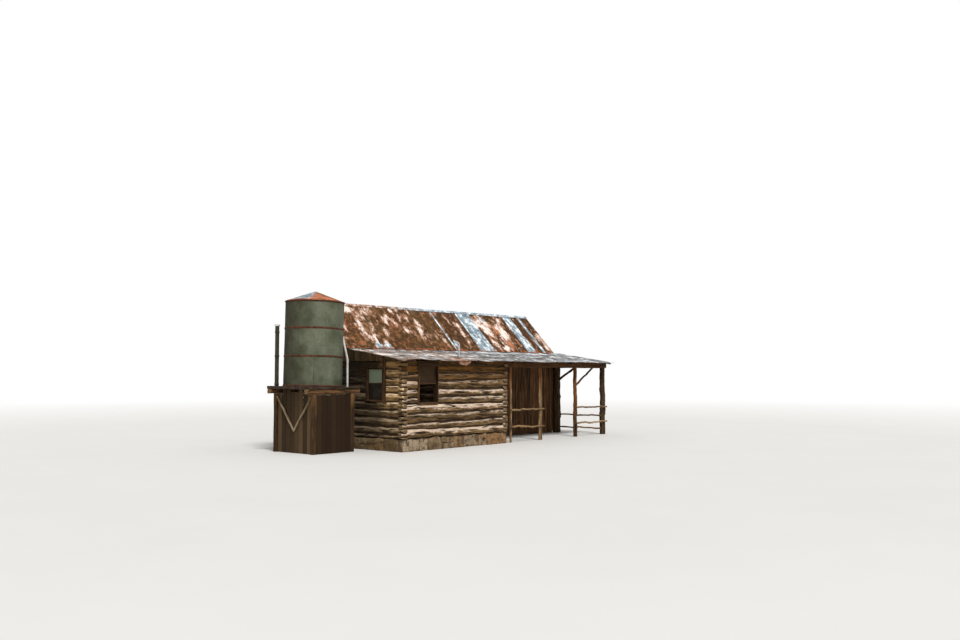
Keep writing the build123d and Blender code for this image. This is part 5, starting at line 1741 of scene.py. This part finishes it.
def buildDownpipe(whitePlastic):
    high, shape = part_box("tank_downpipe")[1], downpipeShape
    down, apart = newPile(), 0.03
    centre = tankPlace @ Vector((0, 0, tankShape["height"] * shape["start"]))
    reach, angle = tankShape["radius"] + apart, math.radians(shape["angle"])
    start = Vector((centre.x + reach * math.cos(angle), centre.y + reach * math.sin(angle), centre.z))
    bend = Vector((high.x - apart, start.y - shape["aside"], centre.z - shape["drop"]))
    foot = Vector((bend.x, bend.y, 0))
    pipeRun(down, [start, *bendPoints(bend, start, foot, shape["bend"]), foot], shape["radius"], 0.7)
    collar(down, start.lerp(bend, 0.12), bend - start, shape["collar"], shape["collarLong"], 0.8)
    collar(down, foot.lerp(bend, 0.45), foot - bend, shape["collar"], shape["collarLong"], 0.9)
    makePiece("tank_white_downpipe", down, [whitePlastic], ("tank_downpipe",), 50)


whitePipe = mottledFinish("whitePipe", whitePipeLook)
buildFlue()
buildStandpipe(whitePipe)
buildDownpipe(whitePipe)
print("stand and pipes built")

# Floor, background, light and camera
stageLook = {"floor": (214, 212, 208), "floorPale": (220, 218, 214), "sky": 0.55, "fade": (16.0, 46.0),
             "sun": 2.5, "sunSoftness": 14, "sunTurn": (37, 0, -26), "floorHalf": 120, "floorDown": 0.001}
cameraSet = {"lens": 34.99, "sensor": 36.0, "place": (-21.045, -19.483, 2.068), "turn": (93.251, 0, -49.434)}


def inRadians(degrees):
    return tuple(math.radians(value) for value in degrees)


def stageFinish():
    material, tree, shader = newFinish("paleFloor", 0.9)
    place = objectPlace(tree)
    tone = blendPaint(tree, cloud(tree, place, 0.4, 3.0), stageLook["floor"], stageLook["floorPale"])
    tree.links.new(tone, shader.inputs["Base Color"])
    # far from the cabin the floor melts into the white behind, for the camera only
    away = fromNode(tree, "ShaderNodeVectorMath", {0: place}, "Value", operation="LENGTH")
    seen = fromNode(tree, "ShaderNodeLightPath", None, "Is Camera Ray")
    away = times(tree, spread(tree, away, *stageLook["fade"]), seen)
    white = fromNode(tree, "ShaderNodeEmission", {"Color": (1, 1, 1, 1), "Strength": 1.0})
    mixed = fromNode(tree, "ShaderNodeMixShader", {0: away, 1: shader.outputs[0], 2: white})
    tree.links.new(mixed, tree.nodes["Material Output"].inputs["Surface"])
    return material


def buildStage():
    work = bmesh.new()
    bmesh.ops.create_grid(work, x_segments=8, y_segments=8, size=stageLook["floorHalf"])
    mesh = bpy.data.meshes.new("studio_floor")
    work.to_mesh(mesh)
    work.free()
    mesh.materials.append(stageFinish())
    floor = bpy.data.objects.new("studio_floor", mesh)
    floor.location = (0, 0, -stageLook["floorDown"])
    scene.collection.objects.link(floor)

    world = bpy.data.worlds.new("studioLight")
    scene.world = world
    world.use_nodes = True
    tree = world.node_tree
    tree.nodes.clear()
    path = addNode(tree, "ShaderNodeLightPath").outputs
    seen = doMath(tree, "MAXIMUM", path["Is Glossy Ray"], path["Is Transmission Ray"])
    seen = doMath(tree, "MAXIMUM", path["Is Camera Ray"], seen)
    strength = fromNode(tree, "ShaderNodeMix", {0: seen, 2: stageLook["sky"], 3: 1.0}, data_type="FLOAT")
    light = fromNode(tree, "ShaderNodeBackground", {"Color": (1, 1, 1, 1), "Strength": strength})
    addNode(tree, "ShaderNodeOutputWorld", {0: light})

    sun = bpy.data.lights.new("keyLight", "SUN")
    sun.energy, sun.angle = stageLook["sun"], math.radians(stageLook["sunSoftness"])
    key = bpy.data.objects.new("keyLight", sun)
    key.rotation_euler = inRadians(stageLook["sunTurn"])
    scene.collection.objects.link(key)


def buildCamera():
    camera = bpy.data.cameras.new("photoCamera")
    camera.lens, camera.sensor_width = cameraSet["lens"], cameraSet["sensor"]
    camera.clip_end = 400
    holder = bpy.data.objects.new("photoCamera", camera)
    holder.location, holder.rotation_euler = cameraSet["place"], inRadians(cameraSet["turn"])
    scene.collection.objects.link(holder)
    scene.camera = holder
    scene.view_settings.view_transform = "Standard"


buildStage()
buildCamera()
print("stage and camera ready")
